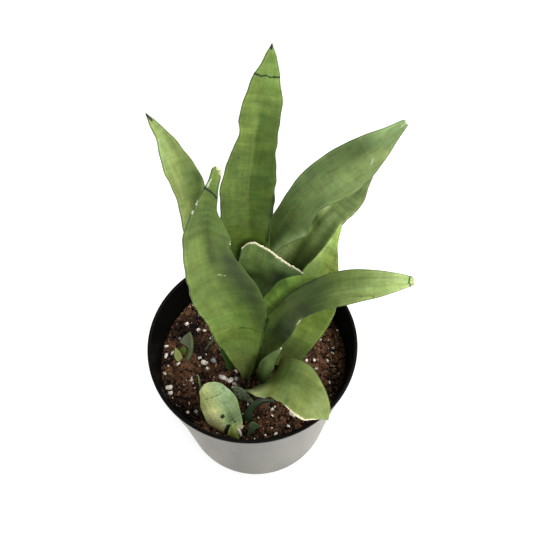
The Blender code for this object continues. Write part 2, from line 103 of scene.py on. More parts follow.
# Blades. Lengths are in millimetres, and thinning and shares are parts of one.
THINNEST = 0.8
NARROWEST = 0.5
TIP_THINNING = 0.35
MARGIN_THINNING = 0.5
FOOT_FOLD = 0.45
FOOT_SHARE = 0.25
CUT_SHARE = 0.4
EDGE_BAND = 0.9
EDGE_SHARE = 0.45
EDGE_COLUMNS = (1.0, 0.62, 0.34, 0.13, 0.0)
DRY_THINNING = 0.3

# Stage, in metres, and the camera's sensor in millimetres.
FLOOR_REACH = 8.0
FLOOR_DROP = 0.0004
LIGHT_AIM = Vector((0, 0, 0.15))
KEY_LIGHT = dict(place=(0.75, 0.35, 1.15), size=0.9)
FILL_LIGHT = dict(place=(0.5, -0.95, 0.85), size=0.8)
BACKDROP = (0.96, 0.96, 0.96, 1)
SENSOR_WIDTH = 36

# A spine is the midline's points, from the buried foot to the tip. A width is (share of the length,
# mm to the left, mm to the right), as someone facing the blade's inner side sees it. Faces are the ways
# the inner side looks, at even steps from foot to tip. Fold is how far the margins stand off the midrib
# for each mm of width. Wave is (mm, number of waves, start), left out where there is none. End is (share
# across, mm past the spine's end), the line along which a blade was cut.
BLADES = {
    "leaf_tall": dict(
        spine=[(0, 20, 82), (0, 20, 105), (1.7, 20, 145), (1.7, 22, 212), (2.7, 24, 255),
               (7.9, 27, 294), (13, 29, 324), (16, 31, 341)],
        widths=[(0, 7.5, 7.5), (0.2, 8, 8), (0.4, 11, 11), (0.5, 13.5, 12), (0.56, 15.5, 12),
                (0.62, 17, 14), (0.7, 16, 14), (0.76, 12.5, 12), (0.83, 10, 10.5),
                (0.88, 9.5, 9.8), (0.93, 7, 7.3), (0.97, 3.2, 4.2), (1, 0.6, 0.6)],
        faces=[(0.05, -1, 0.1), (0.05, -0.9, 0.4)], fold=0.35, wave=(0.8, 3.5, 0.0), thick=2.4),
    "leaf_left_front": dict(
        spine=[(-7, -18, 82), (-7, -18, 105), (-7, -19, 140), (-9, -21, 190), (-14, -25, 238),
               (-17, -27, 272), (-14, -26, 298), (-7.8, -24, 319.7)],
        widths=[(0, 2.5, 4), (0.1, 2.5, 4.5), (0.2, 7, 8.5), (0.3, 11, 13), (0.4, 14.5, 16.5),
                (0.5, 15.8, 19.6), (0.6, 17.2, 20.2), (0.65, 16.8, 18.5), (0.7, 15.2, 15),
                (0.76, 13.2, 11.4), (0.83, 11.2, 10.6), (0.9, 7, 4.3), (0.95, 3.6, 2.8), (1, 2.5, 1.8)],
        faces=[(0.15, -1, 0.1), (0.1, -0.8, 0.5)], fold=0.4, wave=(0.8, 3.0, 1.0), thick=2.4),
    "leaf_left_back": dict(
        spine=[(-14, -8, 82), (-14, -8, 105), (-18, -4, 145), (-23, 4, 195), (-29, 15, 235),
               (-34, 24, 270), (-40, 28, 292), (-47, 30, 305)],
        widths=[(0, 6, 6), (0.2, 8, 7), (0.4, 9, 9), (0.6, 8.6, 10.5), (0.7, 7.9, 10.5),
                (0.8, 7.3, 10), (0.85, 8.5, 8), (0.9, 7.2, 5), (0.95, 4, 2.6), (1, 0.6, 0.6)],
        faces=[(0.4, -1, 0.1), (0.35, -0.8, 0.5)], fold=0.35, wave=(0.8, 3.0, 2.0), thick=2.2),
    "leaf_right_upper": dict(
        spine=[(8, 27, 82), (8, 27, 105), (9, 29, 151), (14, 32, 191), (26.4, 36, 219), (42, 38, 241),
               (58, 40, 254), (74, 41, 269), (88.6, 43, 285)],
        widths=[(0, 6.5, 6.5), (0.3, 6.5, 6.5), (0.48, 8, 6), (0.55, 8.5, 12), (0.6, 8.5, 16),
                (0.66, 10, 13), (0.7, 11.3, 12), (0.75, 12.7, 14), (0.8, 13.3, 14.5), (0.85, 12.2, 13.2),
                (0.9, 9.8, 9.5), (0.95, 5.8, 5.2), (1, 1.8, 1.6)],
        faces=[(-0.4, -1, 0.1), (-0.4, -0.75, 0.5)], fold=0.3, wave=(0.8, 2.5, 0.5), thick=2.4),
    "leaf_right_inner": dict(
        spine=[(16, 33, 82), (16, 33, 105), (19, 36, 136), (28.4, 40, 166), (40.7, 44, 188.5),
               (57, 49, 213), (68, 52, 226), (79, 54, 238)],
        widths=[(0, 6.5, 6.5), (0.3, 8, 7), (0.5, 12, 12.3), (0.6, 13, 14.6), (0.7, 13, 13),
                (0.75, 12.6, 11.8), (0.8, 12, 12.6), (0.9, 9, 11.2), (0.96, 5, 5.3), (1, 1, 1)],
        faces=[(-0.45, -1, 0.1), (-0.45, -0.75, 0.5)], fold=0.3, wave=(0.7, 2.5, 2.5), thick=2.2),
    "leaf_right_back": dict(
        spine=[(21, -9, 82), (22, -8, 101), (29, -2, 126), (37, 3, 152), (42, 6, 178), (46, 9, 204),
               (50, 11, 222), (55, 12, 240)],
        widths=[(0, 7, 7), (0.1, 7.5, 9), (0.2, 9, 12.5), (0.3, 10.5, 14.8), (0.4, 12, 16.5),
                (0.5, 12.5, 18.2), (0.6, 12, 18), (0.7, 10.2, 15.8), (0.8, 4.8, 11.5),
                (0.9, 1.5, 4.8), (1, 0.6, 0.6)],
        faces=[(-0.4, -1, 0.1), (-0.4, -0.8, 0.5)], fold=0.25, wave=(0.7, 2.5, 0.0), thick=2.2),
    "leaf_right_long": dict(
        spine=[(9, -14, 82), (9, -14, 105), (10, -15, 145), (20, -16, 182), (36, -17, 205),
               (55, -18, 218), (76, -20, 224), (94, -20, 225)],
        widths=[(0, 9.5, 5.5), (0.12, 9.5, 5.5), (0.2, 7, 5.5), (0.3, 5, 6), (0.4, 6, 10.5), (0.5, 7, 12.5),
                (0.6, 7.8, 9.4), (0.7, 8.8, 9.5), (0.8, 9.5, 10.5), (0.9, 7.2, 7.8),
                (0.97, 4, 4), (1, 2.2, 2.2)],
        faces=[(-0.4, -1, 0.1), (-0.3, -0.7, 0.65), (-0.1, -0.6, 0.8)], fold=0.2,
        wave=(0.5, 2.5, 1.5), thick=2.4),
    "leaf_centre_fold": dict(
        spine=[(4, -5, 82), (4, -5, 105), (7, -6, 140), (12, -7, 172), (24, -8, 196), (36, -10, 207),
               (54, -12, 209)],
        widths=[(0, 6, 6), (0.3, 6, 6), (0.5, 7.4, 7), (0.6, 8, 8), (0.7, 8.2, 8.5), (0.8, 9.2, 8),
                (0.9, 6.4, 5), (1, 1, 1)],
        faces=[(-0.4, -1, 0.1), (-0.3, -0.7, 0.65), (-0.1, -0.6, 0.8)], fold=0.25,
        wave=(0.4, 2.0, 0.0), thick=2.2),
    "leaf_cut_centre": dict(
        spine=[(1, 4, 82), (1, 4, 105), (4, 5, 140), (8, 8, 172), (15.5, 12, 207)],
        widths=[(0, 7, 7), (0.2, 8, 8), (0.4, 11, 10), (0.6, 15, 15.5), (0.8, 18.5, 19),
                (1, 19.5, 21.8)],
        faces=[(-0.3, -1, 0.1), (-0.25, -0.8, 0.3)], fold=0.3, wave=(0.8, 1.5, 0.0), thick=2.2,
        end=[(-1, 3.5), (-0.9, 7), (-0.72, 9.5), (-0.44, 7.5), (-0.15, 5.3), (0.16, 2.3), (0.45, 1.6),
             (1, 3.3)]),
    "leaf_front_right": dict(
        spine=[(-4, -28, 82), (-3, -29, 98), (6, -33, 110), (13, -36, 122), (21, -40, 136),
               (30, -46, 143), (37, -54, 145), (44, -60, 141), (49, -66, 135)],
        widths=[(0, 5, 5), (0.2, 6, 5), (0.3, 6.5, 8.2), (0.36, 8.2, 9.5), (0.42, 14.5, 10.2),
                (0.5, 18, 10.5), (0.6, 17, 13), (0.7, 16, 14.5), (0.8, 13, 14.6), (0.9, 7.5, 11.6),
                (1, 1.2, 1.2)],
        faces=[(0.3, 1, 0.3), (-0.2, 0.3, 1), (-0.4, -0.1, 1), (-0.4, -0.1, 1)], fold=0.15,
        wave=(0.5, 2.0, 1.0), thick=2.2),
    "basal_scale": dict(
        spine=[(7, -24, 86), (8, -24.5, 102), (8.5, -25.5, 124), (12, -28, 146), (20, -30, 168)],
        widths=[(0, 3.5, 6), (0.3, 4, 6.8), (0.5, 5.4, 5.2), (0.7, 4.5, 4), (0.9, 2, 1.8),
                (1, 0.6, 0.6)],
        faces=[(0.3, 0.9, 0.2), (0.3, 0.9, 0.3)], fold=0.3, wave=(0.2, 1.0, 0.0), thick=1.8),
    "pup_front_leaf": dict(
        spine=[(-17, -61, 86), (-17.5, -60, 99), (-20, -54, 108), (-25, -44, 117), (-32.5, -33, 122)],
        widths=[(0, 4, 4), (0.24, 6, 6), (0.32, 10.5, 9.6), (0.4, 11.4, 12.5), (0.5, 12.2, 13.6),
                (0.6, 12.8, 13.4), (0.7, 12.2, 13), (0.8, 10.6, 12.2), (0.9, 8.4, 9), (1, 3.5, 6.5)],
        faces=[(0.1, 1, 0.2), (0.1, 0.5, -0.9), (0.1, 0.4, -0.9)], fold=0.3,
        wave=(0.4, 1.5, 0.0), thick=1.8),
    "pup_front_spear": dict(
        spine=[(-33, -41, 86), (-34, -40, 99), (-37, -33, 110), (-38, -27, 122)],
        widths=[(0, 1.8, 1.8), (0.5, 2.4, 2.4), (0.8, 2, 2), (1, 0.6, 0.6)],
        faces=[(1, 0, 0.1), (1, 0, 0.1)], fold=0.2, thick=1.2),
    "pup_front_stub": dict(
        spine=[(-13, -65.5, 88), (-13, -65.5, 98), (-13.5, -63, 106), (-14, -58, 112)],
        widths=[(0, 3, 3), (0.6, 3, 3), (1, 1, 1)],
        faces=[(0, 1, 0.1), (0, 1, 0.1)], fold=0.2, thick=1.3),
    "pup_left_hood": dict(
        spine=[(-51, -3.5, 88), (-50.5, -3, 99), (-47.2, 0, 106), (-46.2, 3.5, 112), (-46.6, 10, 119)],
        widths=[(0, 2, 2), (0.35, 2, 2), (0.58, 2, 2.2), (0.66, 3.2, 2.3), (0.74, 7.2, 2.4),
                (0.84, 6.8, 2.2), (0.93, 4, 1.4), (1, 0.6, 0.6)],
        faces=[(-0.6, -0.8, 0.1), (-0.4, -0.8, 0.4)], fold=0.3, thick=1.3),
    "pup_left_spear": dict(
        spine=[(-53.2, 1.5, 88), (-53.2, 1.5, 98), (-53.3, 2.8, 103), (-52.6, 4.8, 107)],
        widths=[(0, 2, 2), (0.7, 3, 3), (0.85, 2.2, 2.2), (1, 0.5, 0.5)],
        faces=[(0, 1, 0.1), (0, 1, 0.1)], fold=0.3, thick=1.2),
    "pup_left_scale": dict(
        spine=[(-55.5, -5, 88), (-55.6, -4.5, 97), (-57.2, -0.8, 102.5), (-58.8, 3.2, 108)],
        widths=[(0, 2.5, 2.5), (0.5, 2.9, 2.9), (0.75, 2.6, 2.6), (1, 0.5, 0.5)],
        faces=[(0.4, -0.8, 0.2), (0.5, -0.7, 0.5)], fold=0.2, thick=1.2),
    "pup_shade_arch": dict(
        spine=[(-2, -53.5, 86), (-2.5, -53.5, 98), (-3.5, -51.3, 106), (-1, -47.7, 112.5),
               (5, -44.7, 116), (15.5, -43.5, 113.5)],
        widths=[(0, 1.8, 1.8), (0.28, 2.2, 2.4), (0.36, 2.8, 4.4), (0.44, 2.8, 3.2), (0.55, 2.4, 2.4),
                (0.8, 2.1, 2.1), (1, 0.6, 0.6)],
        faces=[(0.3, 1, 0.2), (0.4, 0.7, -0.8)], fold=0.3, thick=1.4),
    "pup_shade_lobe": dict(
        spine=[(-4, -62, 86), (-3.6, -61.8, 97.5), (-1.8, -59, 103), (-0.2, -55.8, 108)],
        widths=[(0, 1.6, 1.6), (0.6, 1.4, 1.8), (0.8, 1.6, 3.6), (0.93, 2.2, 6), (1, 2.4, 4.5)],
        faces=[(0, -1, 0.2), (0, -0.8, 0.6)], fold=0.2, thick=1.3),
    "dry_scale": dict(
        spine=[(-2.5, -37.5, 90), (-3, -37.5, 99), (-8, -34.5, 104), (-15.5, -28.5, 105.5)],
        widths=[(0, 2.5, 2.5), (0.4, 3.2, 3.2), (0.6, 4.2, 4.4), (0.8, 3.8, 3.8), (1, 1.5, 1.5)],
        faces=[(0, 1, 0.2), (0.1, 0.6, -0.8)], fold=0.2, wave=(0.3, 1, 0), thick=1.2),
    "dry_curl": dict(
        spine=[(-36.5, 4, 92), (-36.4, 4.6, 99), (-34.6, 6.8, 102), (-31, 10.2, 105),
               (-32.9, 12.6, 107.5)],
        widths=[(0, 0.8, 0.8), (0.5, 1, 1), (0.8, 1.3, 1.3), (1, 0.5, 0.5)],
        faces=[(-0.3, 0.3, 1), (-0.3, 0.3, 1)], fold=0.2, thick=0.9),
}

# How each blade looks. Left and right tint its two halves and foot its lower end, and the tints also hold
# painted light and shade: a blade or half that faces the light is tinted lighter and one in shade darker.
# Tones are (share of the length, brightness of the left half, of the right half), partly the blade's own
# tone and partly painted light and shade: lighter where light falls and darker deep in the crown. Vee is
# how much of the fold lies in a sharp midrib. Point is how many mm its end takes to close, and uneven
# multiplies the waver of its margins. A mark is (kind, width in mm, depth in mm, path of (share along,
# share across)), and a shade or a glow has its strength in place of a depth. Shade marks are painted
# shade, mostly shadows where one blade lies over another, and a few are real dark bands; glow marks are
# painted light on lit edges and stripes. A nick is (share along, side, depth, half length in mm).
# PLAIN_LOOK has what a blade's own look leaves out.
PLAIN_LOOK = dict(
    slot="leaf_green", foot=(1, 1, 1), bands=0.2, streaks=0.17, mottle=0.2, speckle=0.08, freckles=0.0,
    uneven=1, tones_and_painted_light=[(0, 1, 1), (1, 1, 1)], marks=[], nicks=[])
LOOKS = {
    "leaf_tall": dict(
        left=(1.0, 1.0, 0.85), right=(0.86, 0.92, 0.82), vee=0.75, soft=1.2, point=5,
        bands=0.62, uneven=1.3,
        tones_and_painted_light=[(0, 0.55, 0.45), (0.57, 0.7, 0.64), (0.65, 0.8, 0.58), (0.72, 0.92, 0.7),
               (0.78, 0.92, 0.66), (0.83, 1.18, 0.82), (0.86, 1.2, 0.9), (0.93, 1.15, 1.6),
               (1, 1.5, 1.45)],
        marks=[("dark", 0.75, 0.4, [(0.944, -1), (0.943, -0.75), (0.938, -0.4), (0.9405, -0.1),
                                    (0.938, 0.25), (0.941, 0.6), (0.943, 1)]),
               ("dark", 0.8, 0, [(0.992, 0), (1, 0)]),
               ("shade", 1.2, 0.7, [(0.665, 1), (0.62, 1), (0.568, 1), (0.51, 0.9)]),
               ("shade", 1.2, 0.15, [(0.918, -1), (0.914, 0.1), (0.919, 1)]),
               ("shade", 1.3, 0.16, [(0.89, -1), (0.885, 0.1), (0.891, 1)]),
               ("shade", 1.4, 0.14, [(0.86, -1), (0.856, 0), (0.861, 1)]),
               ("dark", 0.35, 0, [(0.757, -0.6), (0.756, -0.58)]),
               ("dark", 0.35, 0, [(0.712, -0.35), (0.711, -0.33)])],
        nicks=[(0.805, 0, 1.0, 10), (0.855, 0, -0.3, 6), (0.64, 0, 0.5, 8)]),
    "leaf_left_front": dict(
        left=(1.12, 1.1, 1.05), right=(1.0, 1.06, 0.85), vee=0.3, soft=7, point=1.5,
        bands=0.45, speckle=0.12,
        tones_and_painted_light=[(0, 0.9, 1.3), (0.12, 1.1, 1.8), (0.26, 1.2, 1.25), (0.35, 0.84, 0.82),
               (0.45, 1.0, 0.74), (0.53, 1.0, 0.6), (0.64, 0.92, 0.42), (0.72, 0.9, 0.52),
               (0.77, 0.97, 0.56), (0.83, 1.0, 0.76), (0.89, 0.58, 0.92), (0.92, 0.64, 0.75),
               (0.948, 0.66, 0.66), (0.965, 1.0, 1.0), (1, 1.0, 1.0)],
        marks=[("dark", 0.9, 0.4, [(0.951, -0.9), (0.949, -0.75), (0.944, -0.3), (0.94, 0.1),
                                   (0.936, 0.6), (0.934, 0.9)]),
               ("shade", 5, 0.5, [(0.74, 0.8), (0.62, 0.7), (0.53, 0.75), (0.42, 0.9)]),
               ("shade", 3.5, 0.8, [(0.24, 1), (0.15, 0.85), (0.08, 0.9)]),
               ("shade", 3, 0.42, [(0.86, 0), (0.74, 0.05)]),
               ("shade", 1.1, 0.22, [(0.917, -0.9), (0.915, 0.1), (0.909, 0.9)]),
               ("shade", 1.0, 0.18, [(0.898, -0.9), (0.899, 0.1), (0.891, 0.9)]),
               ("shade", 1.3, 0.2, [(0.878, -0.9), (0.882, 0), (0.872, 0.9)]),
               ("shade", 1.5, 0.2, [(0.856, -0.9), (0.862, 0), (0.852, 0.9)]),
               ("shade", 2.2, 0.25, [(0.828, -0.9), (0.838, 0), (0.826, 0.9)]),
               ("dry", 1.1, 0, [(1, 0.5), (0.99, 1)]),
               ("pale", 0.35, 0, [(0.972, -0.75), (0.955, -0.8)]),
               ("pale", 0.3, 0, [(0.68, 0.04), (0.676, 0.13)]),
               ("pale", 0.3, 0, [(0.674, 0.2), (0.672, 0.24)]),
               ("dark", 0.35, 0, [(0.407, 0.28), (0.405, 0.36)]),
               ("dark", 0.3, 0, [(0.402, 0.55), (0.4, 0.6)]),
               ("dark", 0.3, 0, [(0.396, 0.72), (0.395, 0.78)]),
               ("shade", 1.4, 0.3, [(0.405, 0.2), (0.395, 0.9)]),
               ("shade", 0.9, 0.6, [(0.47, 1), (0.4, 1), (0.3, 1), (0.2, 1)]),
               ("pale", 0.25, 0, [(0.921, -0.98), (0.913, -0.93)]),
               ("pale", 0.25, 0, [(0.9, -0.98), (0.893, -0.93)]),
               ("pale", 0.45, 0, [(0.815, 1), (0.804, 1)])],
        nicks=[(0.917, 0, 0.4, 1.0), (0.897, 0, 0.3, 0.9), (0.81, 1, 0.5, 1.2)]),
    "leaf_left_back": dict(
        left=(1.27, 1.15, 1.54), right=(1.15, 1.08, 1.4), vee=0.4, soft=4, point=5,
        bands=0.5,
        tones_and_painted_light=[(0, 1, 0.8), (0.7, 1.2, 0.85), (0.78, 1.36, 0.92), (0.82, 1.4, 0.95), (0.86, 1.38, 1.2),
               (0.91, 1.7, 1.6), (0.96, 1.3, 1.25), (1, 1.2, 1.2)],
        foot=(0.3, 0.6, 0.4),
        marks=[("dark", 0.8, 0, [(0.98, 0), (1, 0)]),
               ("shade", 2.5, 0.45, [(0.82, 0.95), (0.76, 0.5), (0.7, 0.35), (0.6, 0.2)])]),
    "leaf_right_upper": dict(
        left=(1.0, 1.0, 1.58), right=(1.15, 1.1, 1.66), vee=0.3, soft=5, point=1.2,
        bands=0.25, uneven=0.3,
        tones_and_painted_light=[(0, 0.4, 0.6), (0.5, 0.3, 0.65), (0.61, 0.5, 0.7), (0.68, 0.84, 0.92),
               (0.77, 0.72, 1.1), (0.82, 0.77, 1.3), (0.88, 0.7, 1.4), (0.94, 1.45, 1.28),
               (1, 1.62, 1.53)],
        marks=[("glow", 3.2, 1.5, [(0.46, 0.7), (0.52, 0.85), (0.6, 0.97)]),
               ("shade", 3, 0.4, [(0.5, 0.1), (0.57, 0.25)]),
               ("pale", 0.35, 0, [(0.884, 0.44), (0.877, 0.55)]),
               ("dry", 1.0, 0, [(1, -1), (1, 1)]),
               ("pale", 0.3, 0, [(0.998, -0.2), (0.984, 0.1)])]),
    "leaf_right_inner": dict(
        left=(1.14, 1.0, 1.5), right=(0.98, 0.88, 1.3), vee=0.5, soft=3, point=3,
        bands=0.65, streaks=0.3,
        tones_and_painted_light=[(0, 0.8, 0.5), (0.46, 1.2, 0.3), (0.5, 1.6, 0.45), (0.54, 2.1, 0.62),
               (0.62, 1.4, 0.9), (0.65, 1.65, 1.2), (0.72, 0.8, 1.6), (0.79, 2.6, 1.45),
               (0.84, 2.3, 1.4), (0.88, 2.5, 1.45), (0.94, 2.2, 1.5), (1, 2.1, 1.8)],
        marks=[("shade", 2.2, 0.35, [(0.86, -0.02), (0.64, 0.05), (0.465, -0.2)]),
               ("glow", 2.6, 0.3, [(0.777, 0.38), (0.537, 0.28)]),
               ("shade", 2.6, 0.4, [(0.75, 0.75), (0.63, 0.85), (0.49, 0.75)]),
               ("glow", 1.6, 0.4, [(0.88, 0.97), (0.838, 0.96), (0.79, 0.97)]),
               ("pale", 0.35, 0, [(0.852, 1), (0.847, 1)]),
               ("pale", 0.35, 0, [(0.812, 1), (0.80, 1)])]),
    "leaf_right_back": dict(
        left=(1.05, 1.08, 1.0), right=(1.1, 1.13, 0.9), vee=0.3, soft=4, point=4,
        bands=0.55, freckles=1.0, uneven=0.5,
        tones_and_painted_light=[(0, 1.6, 1.5), (0.3, 1.85, 1.7), (0.5, 1.35, 1.5), (0.61, 1.5, 1.45), (0.74, 2.7, 2.6),
               (1, 3, 2.8)]),
    "leaf_right_long": dict(
        left=(1.06, 1.0, 1.2), right=(1.04, 0.98, 1.25), vee=0.4, soft=3, point=1.2,
        bands=0.3, streaks=0.35, uneven=0.3,
        tones_and_painted_light=[(0, 0.45, 0.5), (0.16, 0.5, 0.5), (0.28, 1.1, 0.85), (0.36, 0.55, 0.45),
               (0.48, 0.54, 0.13), (0.58, 0.37, 0.27), (0.66, 0.32, 0.23), (0.72, 0.31, 0.48),
               (0.8, 0.56, 0.95), (0.86, 0.9, 1.2), (0.92, 1.5, 1.35), (0.96, 1.85, 1.8),
               (1, 2.1, 2.1)],
        marks=[("dry", 0.9, 0, [(1, -1), (1, 1)]),
               ("dark", 0.35, 0, [(0.986, -1), (0.982, 0.2), (0.987, 1)]),
               ("glow", 1.3, 2.2, [(0.61, 1), (0.585, 0.98), (0.565, 1)]),
               ("pale", 0.25, 0, [(0.6, 0.95), (0.575, 0.97)]),
               ("shade", 1.2, 0.8, [(0.48, -0.85), (0.47, -0.85), (0.375, -0.75), (0.265, -0.82)]),
               ("shade", 0.9, 0.7, [(0.517, -1), (0.55, -1), (0.633, -1), (0.685, -1), (0.725, -1)]),
               ("dark", 0.3, 0, [(0.845, 0.7), (0.843, 0.72)]),
               ("dark", 0.3, 0, [(0.88, 0.86), (0.878, 0.88)])]),
    "leaf_centre_fold": dict(
        left=(0.97, 1.12, 0.85), right=(0.94, 1.15, 0.75), vee=0.4, soft=3, point=4,
        bands=0.7,
        tones_and_painted_light=[(0, 0.9, 0.5), (0.66, 1.95, 0.75), (0.72, 1.6, 0.6), (0.78, 1.32, 0.52), (0.9, 1.08, 0.48),
               (1, 1.2, 0.8)],
        marks=[("shade", 3, 0.55, [(0.5, -0.85), (0.6, -0.85), (0.7, -0.85), (0.8, -0.85)])]),
    "leaf_cut_centre": dict(
        left=(0.98, 1.0, 1.4), right=(0.95, 0.95, 1.4), vee=0.2, soft=5, point=0,
        bands=0.5, mottle=0.3, uneven=0.4,
        tones_and_painted_light=[(0, 0.3, 0.25), (0.75, 0.6, 0.75), (0.81, 0.3, 0.6), (0.86, 0.6, 0.58),
               (0.9, 0.75, 0.38), (0.96, 0.95, 1.05), (1, 1.02, 1.5)],
        marks=[("dry", 1.0, 0, [(1, -1), (1, 1)]),
               ("shade", 2, 0.6, [(0.86, -1), (0.8, -0.6), (0.74, -0.4)]),
               ("shade", 1.5, 0.5, [(0.93, 0.5), (0.87, 0.35), (0.82, 0.3)])]),
    "leaf_front_right": dict(
        left=(1.12, 1.0, 1.2), right=(1.18, 1.02, 1.25), vee=0.2, soft=5, point=5,
        bands=0.35,
        tones_and_painted_light=[(0, 1.1, 3.6), (0.3, 1.2, 4.8), (0.45, 0.6, 2.3), (0.57, 0.62, 1.25),
               (0.7, 0.84, 1.15), (0.82, 0.72, 0.95), (0.9, 1.2, 1.15), (1, 1.2, 1.2)],
        marks=[("dry", 0.7, 0, [(0.72, 1), (0.8, 1), (0.88, 1), (0.95, 1)]),
               ("glow", 3, 0.85, [(0.73, -0.85), (0.8, -0.9)]),
               ("pale", 0.22, 0, [(0.36, 1), (0.45, 1), (0.62, 1)])]),
    "basal_scale": dict(
        slot="leaf_deep_green", left=(1.0, 1.0, 1.5), right=(0.95, 0.9, 1.5), vee=0.4, soft=2,
        point=4, bands=0.3,
        tones_and_painted_light=[(0, 0.35, 0.15), (0.31, 0.62, 0.28), (0.5, 0.78, 0.48), (0.7, 0.84, 0.7), (1, 0.8, 0.8)],
        marks=[("dry", 1.0, 0, [(0.985, 0), (1, 0)])]),
    "pup_front_leaf": dict(
        slot="leaf_silver_green", left=(1.05, 1.0, 1.75), right=(1.45, 1.16, 1.7), foot=(3.4, 2.6, 1.6),
        vee=0.1, soft=5, point=2, bands=0.4, speckle=0.25,
        tones_and_painted_light=[(0, 1.2, 1.2), (0.3, 2.6, 3.4), (0.36, 1.8, 3.2), (0.47, 0.75, 2.8),
               (0.54, 0.9, 2.8), (0.6, 0.95, 2.8), (0.72, 1.35, 1.65), (0.78, 1.95, 1.55),
               (0.85, 2.0, 1.5), (1, 2.0, 2.0)],
        marks=[("shade", 0.35, 0.45, [(0.838, 0.75), (0.802, 0.07), (0.785, -0.6)]),
               ("dark", 0.2, 0, [(0.825, 0.45), (0.82, 0.35)]),
               ("dark", 0.2, 0, [(0.81, 0.2), (0.806, 0.1)]),
               ("dark", 0.2, 0, [(0.797, -0.15), (0.794, -0.25)]),
               ("dark", 0.9, 0.6, [(0.525, -0.02), (0.515, 0.03)]),
               ("dark", 0.35, 0.2, [(0.44, -0.47), (0.438, -0.45)]),
               ("dark", 0.35, 0.2, [(0.4, -0.57), (0.398, -0.55)]),
               ("dark", 1.2, 0.6, [(0.37, -0.15), (0.3, 0.13), (0.2, 0.55)]),
               ("dark", 0.25, 0, [(0.37, 0.8), (0.369, 0.81)]),
               ("dark", 0.25, 0, [(0.33, 0.6), (0.329, 0.61)]),
               ("dark", 0.25, 0, [(0.42, 0.45), (0.419, 0.46)])]),
    "pup_front_spear": dict(
        slot="leaf_silver_green", left=(1.5, 1.5, 2.2), right=(1.4, 1.5, 2.2), vee=0.3, soft=1,
        point=3),
    "pup_front_stub": dict(
        slot="leaf_yellow_green", left=(2.3, 2.0, 2.0), right=(2.1, 1.85, 1.8), vee=0.2, soft=2,
        point=1),
    "pup_left_hood": dict(
        slot="leaf_deep_green", left=(0.62, 0.5, 1.3), right=(1.1, 0.95, 2.1), vee=0.3, soft=1,
        point=2),
    "pup_left_spear": dict(
        left=(0.68, 0.66, 0.5), right=(0.58, 0.58, 0.45), vee=0.3, soft=1, point=2),
    "pup_left_scale": dict(
        slot="leaf_yellow_green", left=(1.7, 1.28, 1.9), right=(1.55, 1.2, 1.7), vee=0.2, soft=1,
        point=2),
    # Its near-black tints and its tones are painted shade, as it lies in shade under the front blades.
    "pup_shade_arch": dict(
        slot="leaf_deep_green", left=(0.12, 0.16, 0.3), right=(0.14, 0.19, 0.34), vee=0.2, soft=2,
        point=2, tones_and_painted_light=[(0, 1.2, 1.2), (0.45, 1.2, 1.2), (0.65, 0.7, 0.7), (1, 0.6, 0.6)]),
    "pup_shade_lobe": dict(
        slot="leaf_deep_green", left=(0.6, 0.68, 1.5), right=(0.66, 0.74, 1.6), vee=0.2, soft=2,
        point=2),
    "dry_scale": dict(
        slot="leaf_dry", left=(0.62, 0.53, 1.25), right=(0.6, 0.5, 1.2), vee=0.1, soft=2, point=1,
        bands=0.6, speckle=1.0, marks=[("dry", 0.8, 0, [(1, -1), (1, 1)])]),
    "dry_curl": dict(
        slot="leaf_silver_green", left=(0.6, 0.52, 1.5), right=(0.6, 0.52, 1.5), vee=0.1, soft=1,
        point=2),
}

# Cream perlite grains that stand out in the soil: (x, y, size) in mm.
GRAINS = [
    (-67.2, 8.4, 3.4), (-66.6, 0.6, 4.6), (-61.7, 2, 2.8), (-56.6, -6.8, 2.6), (-40.7, -2.7, 2.9),
    (-36.6, -7.3, 4.8), (-34.2, -12, 2.9), (-22.8, -19.8, 4.4), (-19.5, -21.5, 3.2),
    (-16.6, -22, 4.2), (-14, -24.3, 3.4), (-12.8, -14.3, 2.5), (-52.5, 27, 3.5), (-43, 21.2, 3.2),
    (-38, 21, 2.4), (-62.2, -25.4, 4.6), (-61, -29.2, 3.6), (-47.2, -44.4, 2.4), (-66.6, -13.4, 2.8),
    (-45.7, -20.4, 2.4), (-46.3, -18, 2.2), (-9.7, -56.6, 4.6), (-10, -60.3, 4.2),
    (-47.1, -37.6, 1.7), (-4.1, -39.6, 1.6), (13.4, -44.5, 2.5), (26.5, -47.7, 3), (28.4, -49.8, 2.8),
    (13.4, -49.2, 1.7), (15.6, -61.3, 2.3), (8.1, -62.5, 2.3), (24.5, -56.3, 1.8), (3.4, -49.9, 1.8),
    (46, -6, 2.2), (47, -14, 2), (56, -7, 1.9), (56, -24, 2.1), (66, 20, 1.9), (40, -7, 2.3),
    (52, 12, 1.8), (61, 4, 1.7), (35, -30, 1.8), (-57, -7, 1.8), (-66, -14, 1.8), (-33, 14, 2),
    (-28, 30, 2.2), (5, 45, 2.4), (28, 50, 2), (-14, 52, 2.1), (48, 33, 2.4), (-45, 42, 2.1),
]

# Bluish grey grains among them, the same way.
GREY_GRAINS = [(-30, -5.6, 4.8), (-41.2, -44.5, 4.3), (-12.7, -20, 3.4), (-57, 14, 2.2), (36, 22, 2.6)]

# Painted shade, near black, where the plant and the pot's wall shade the mix: (x, y, reach, share)
# with the first three in mm.
SOIL_SHADE_SPOTS = [(-52, 22, 16, 0.85), (-40, 8, 12, 0.5), (-52, -44, 14, 0.85), (-1, -18, 6, 0.8),
        (60, -26, 10, 0.6), (-4, -36, 9, 0.7), (42, -38, 16, 0.45)]


ColourProperty = partial(FloatVectorProperty, subtype="COLOR", size=3, min=0, max=1)
LengthProperty = partial(FloatProperty, unit="LENGTH", min=0)


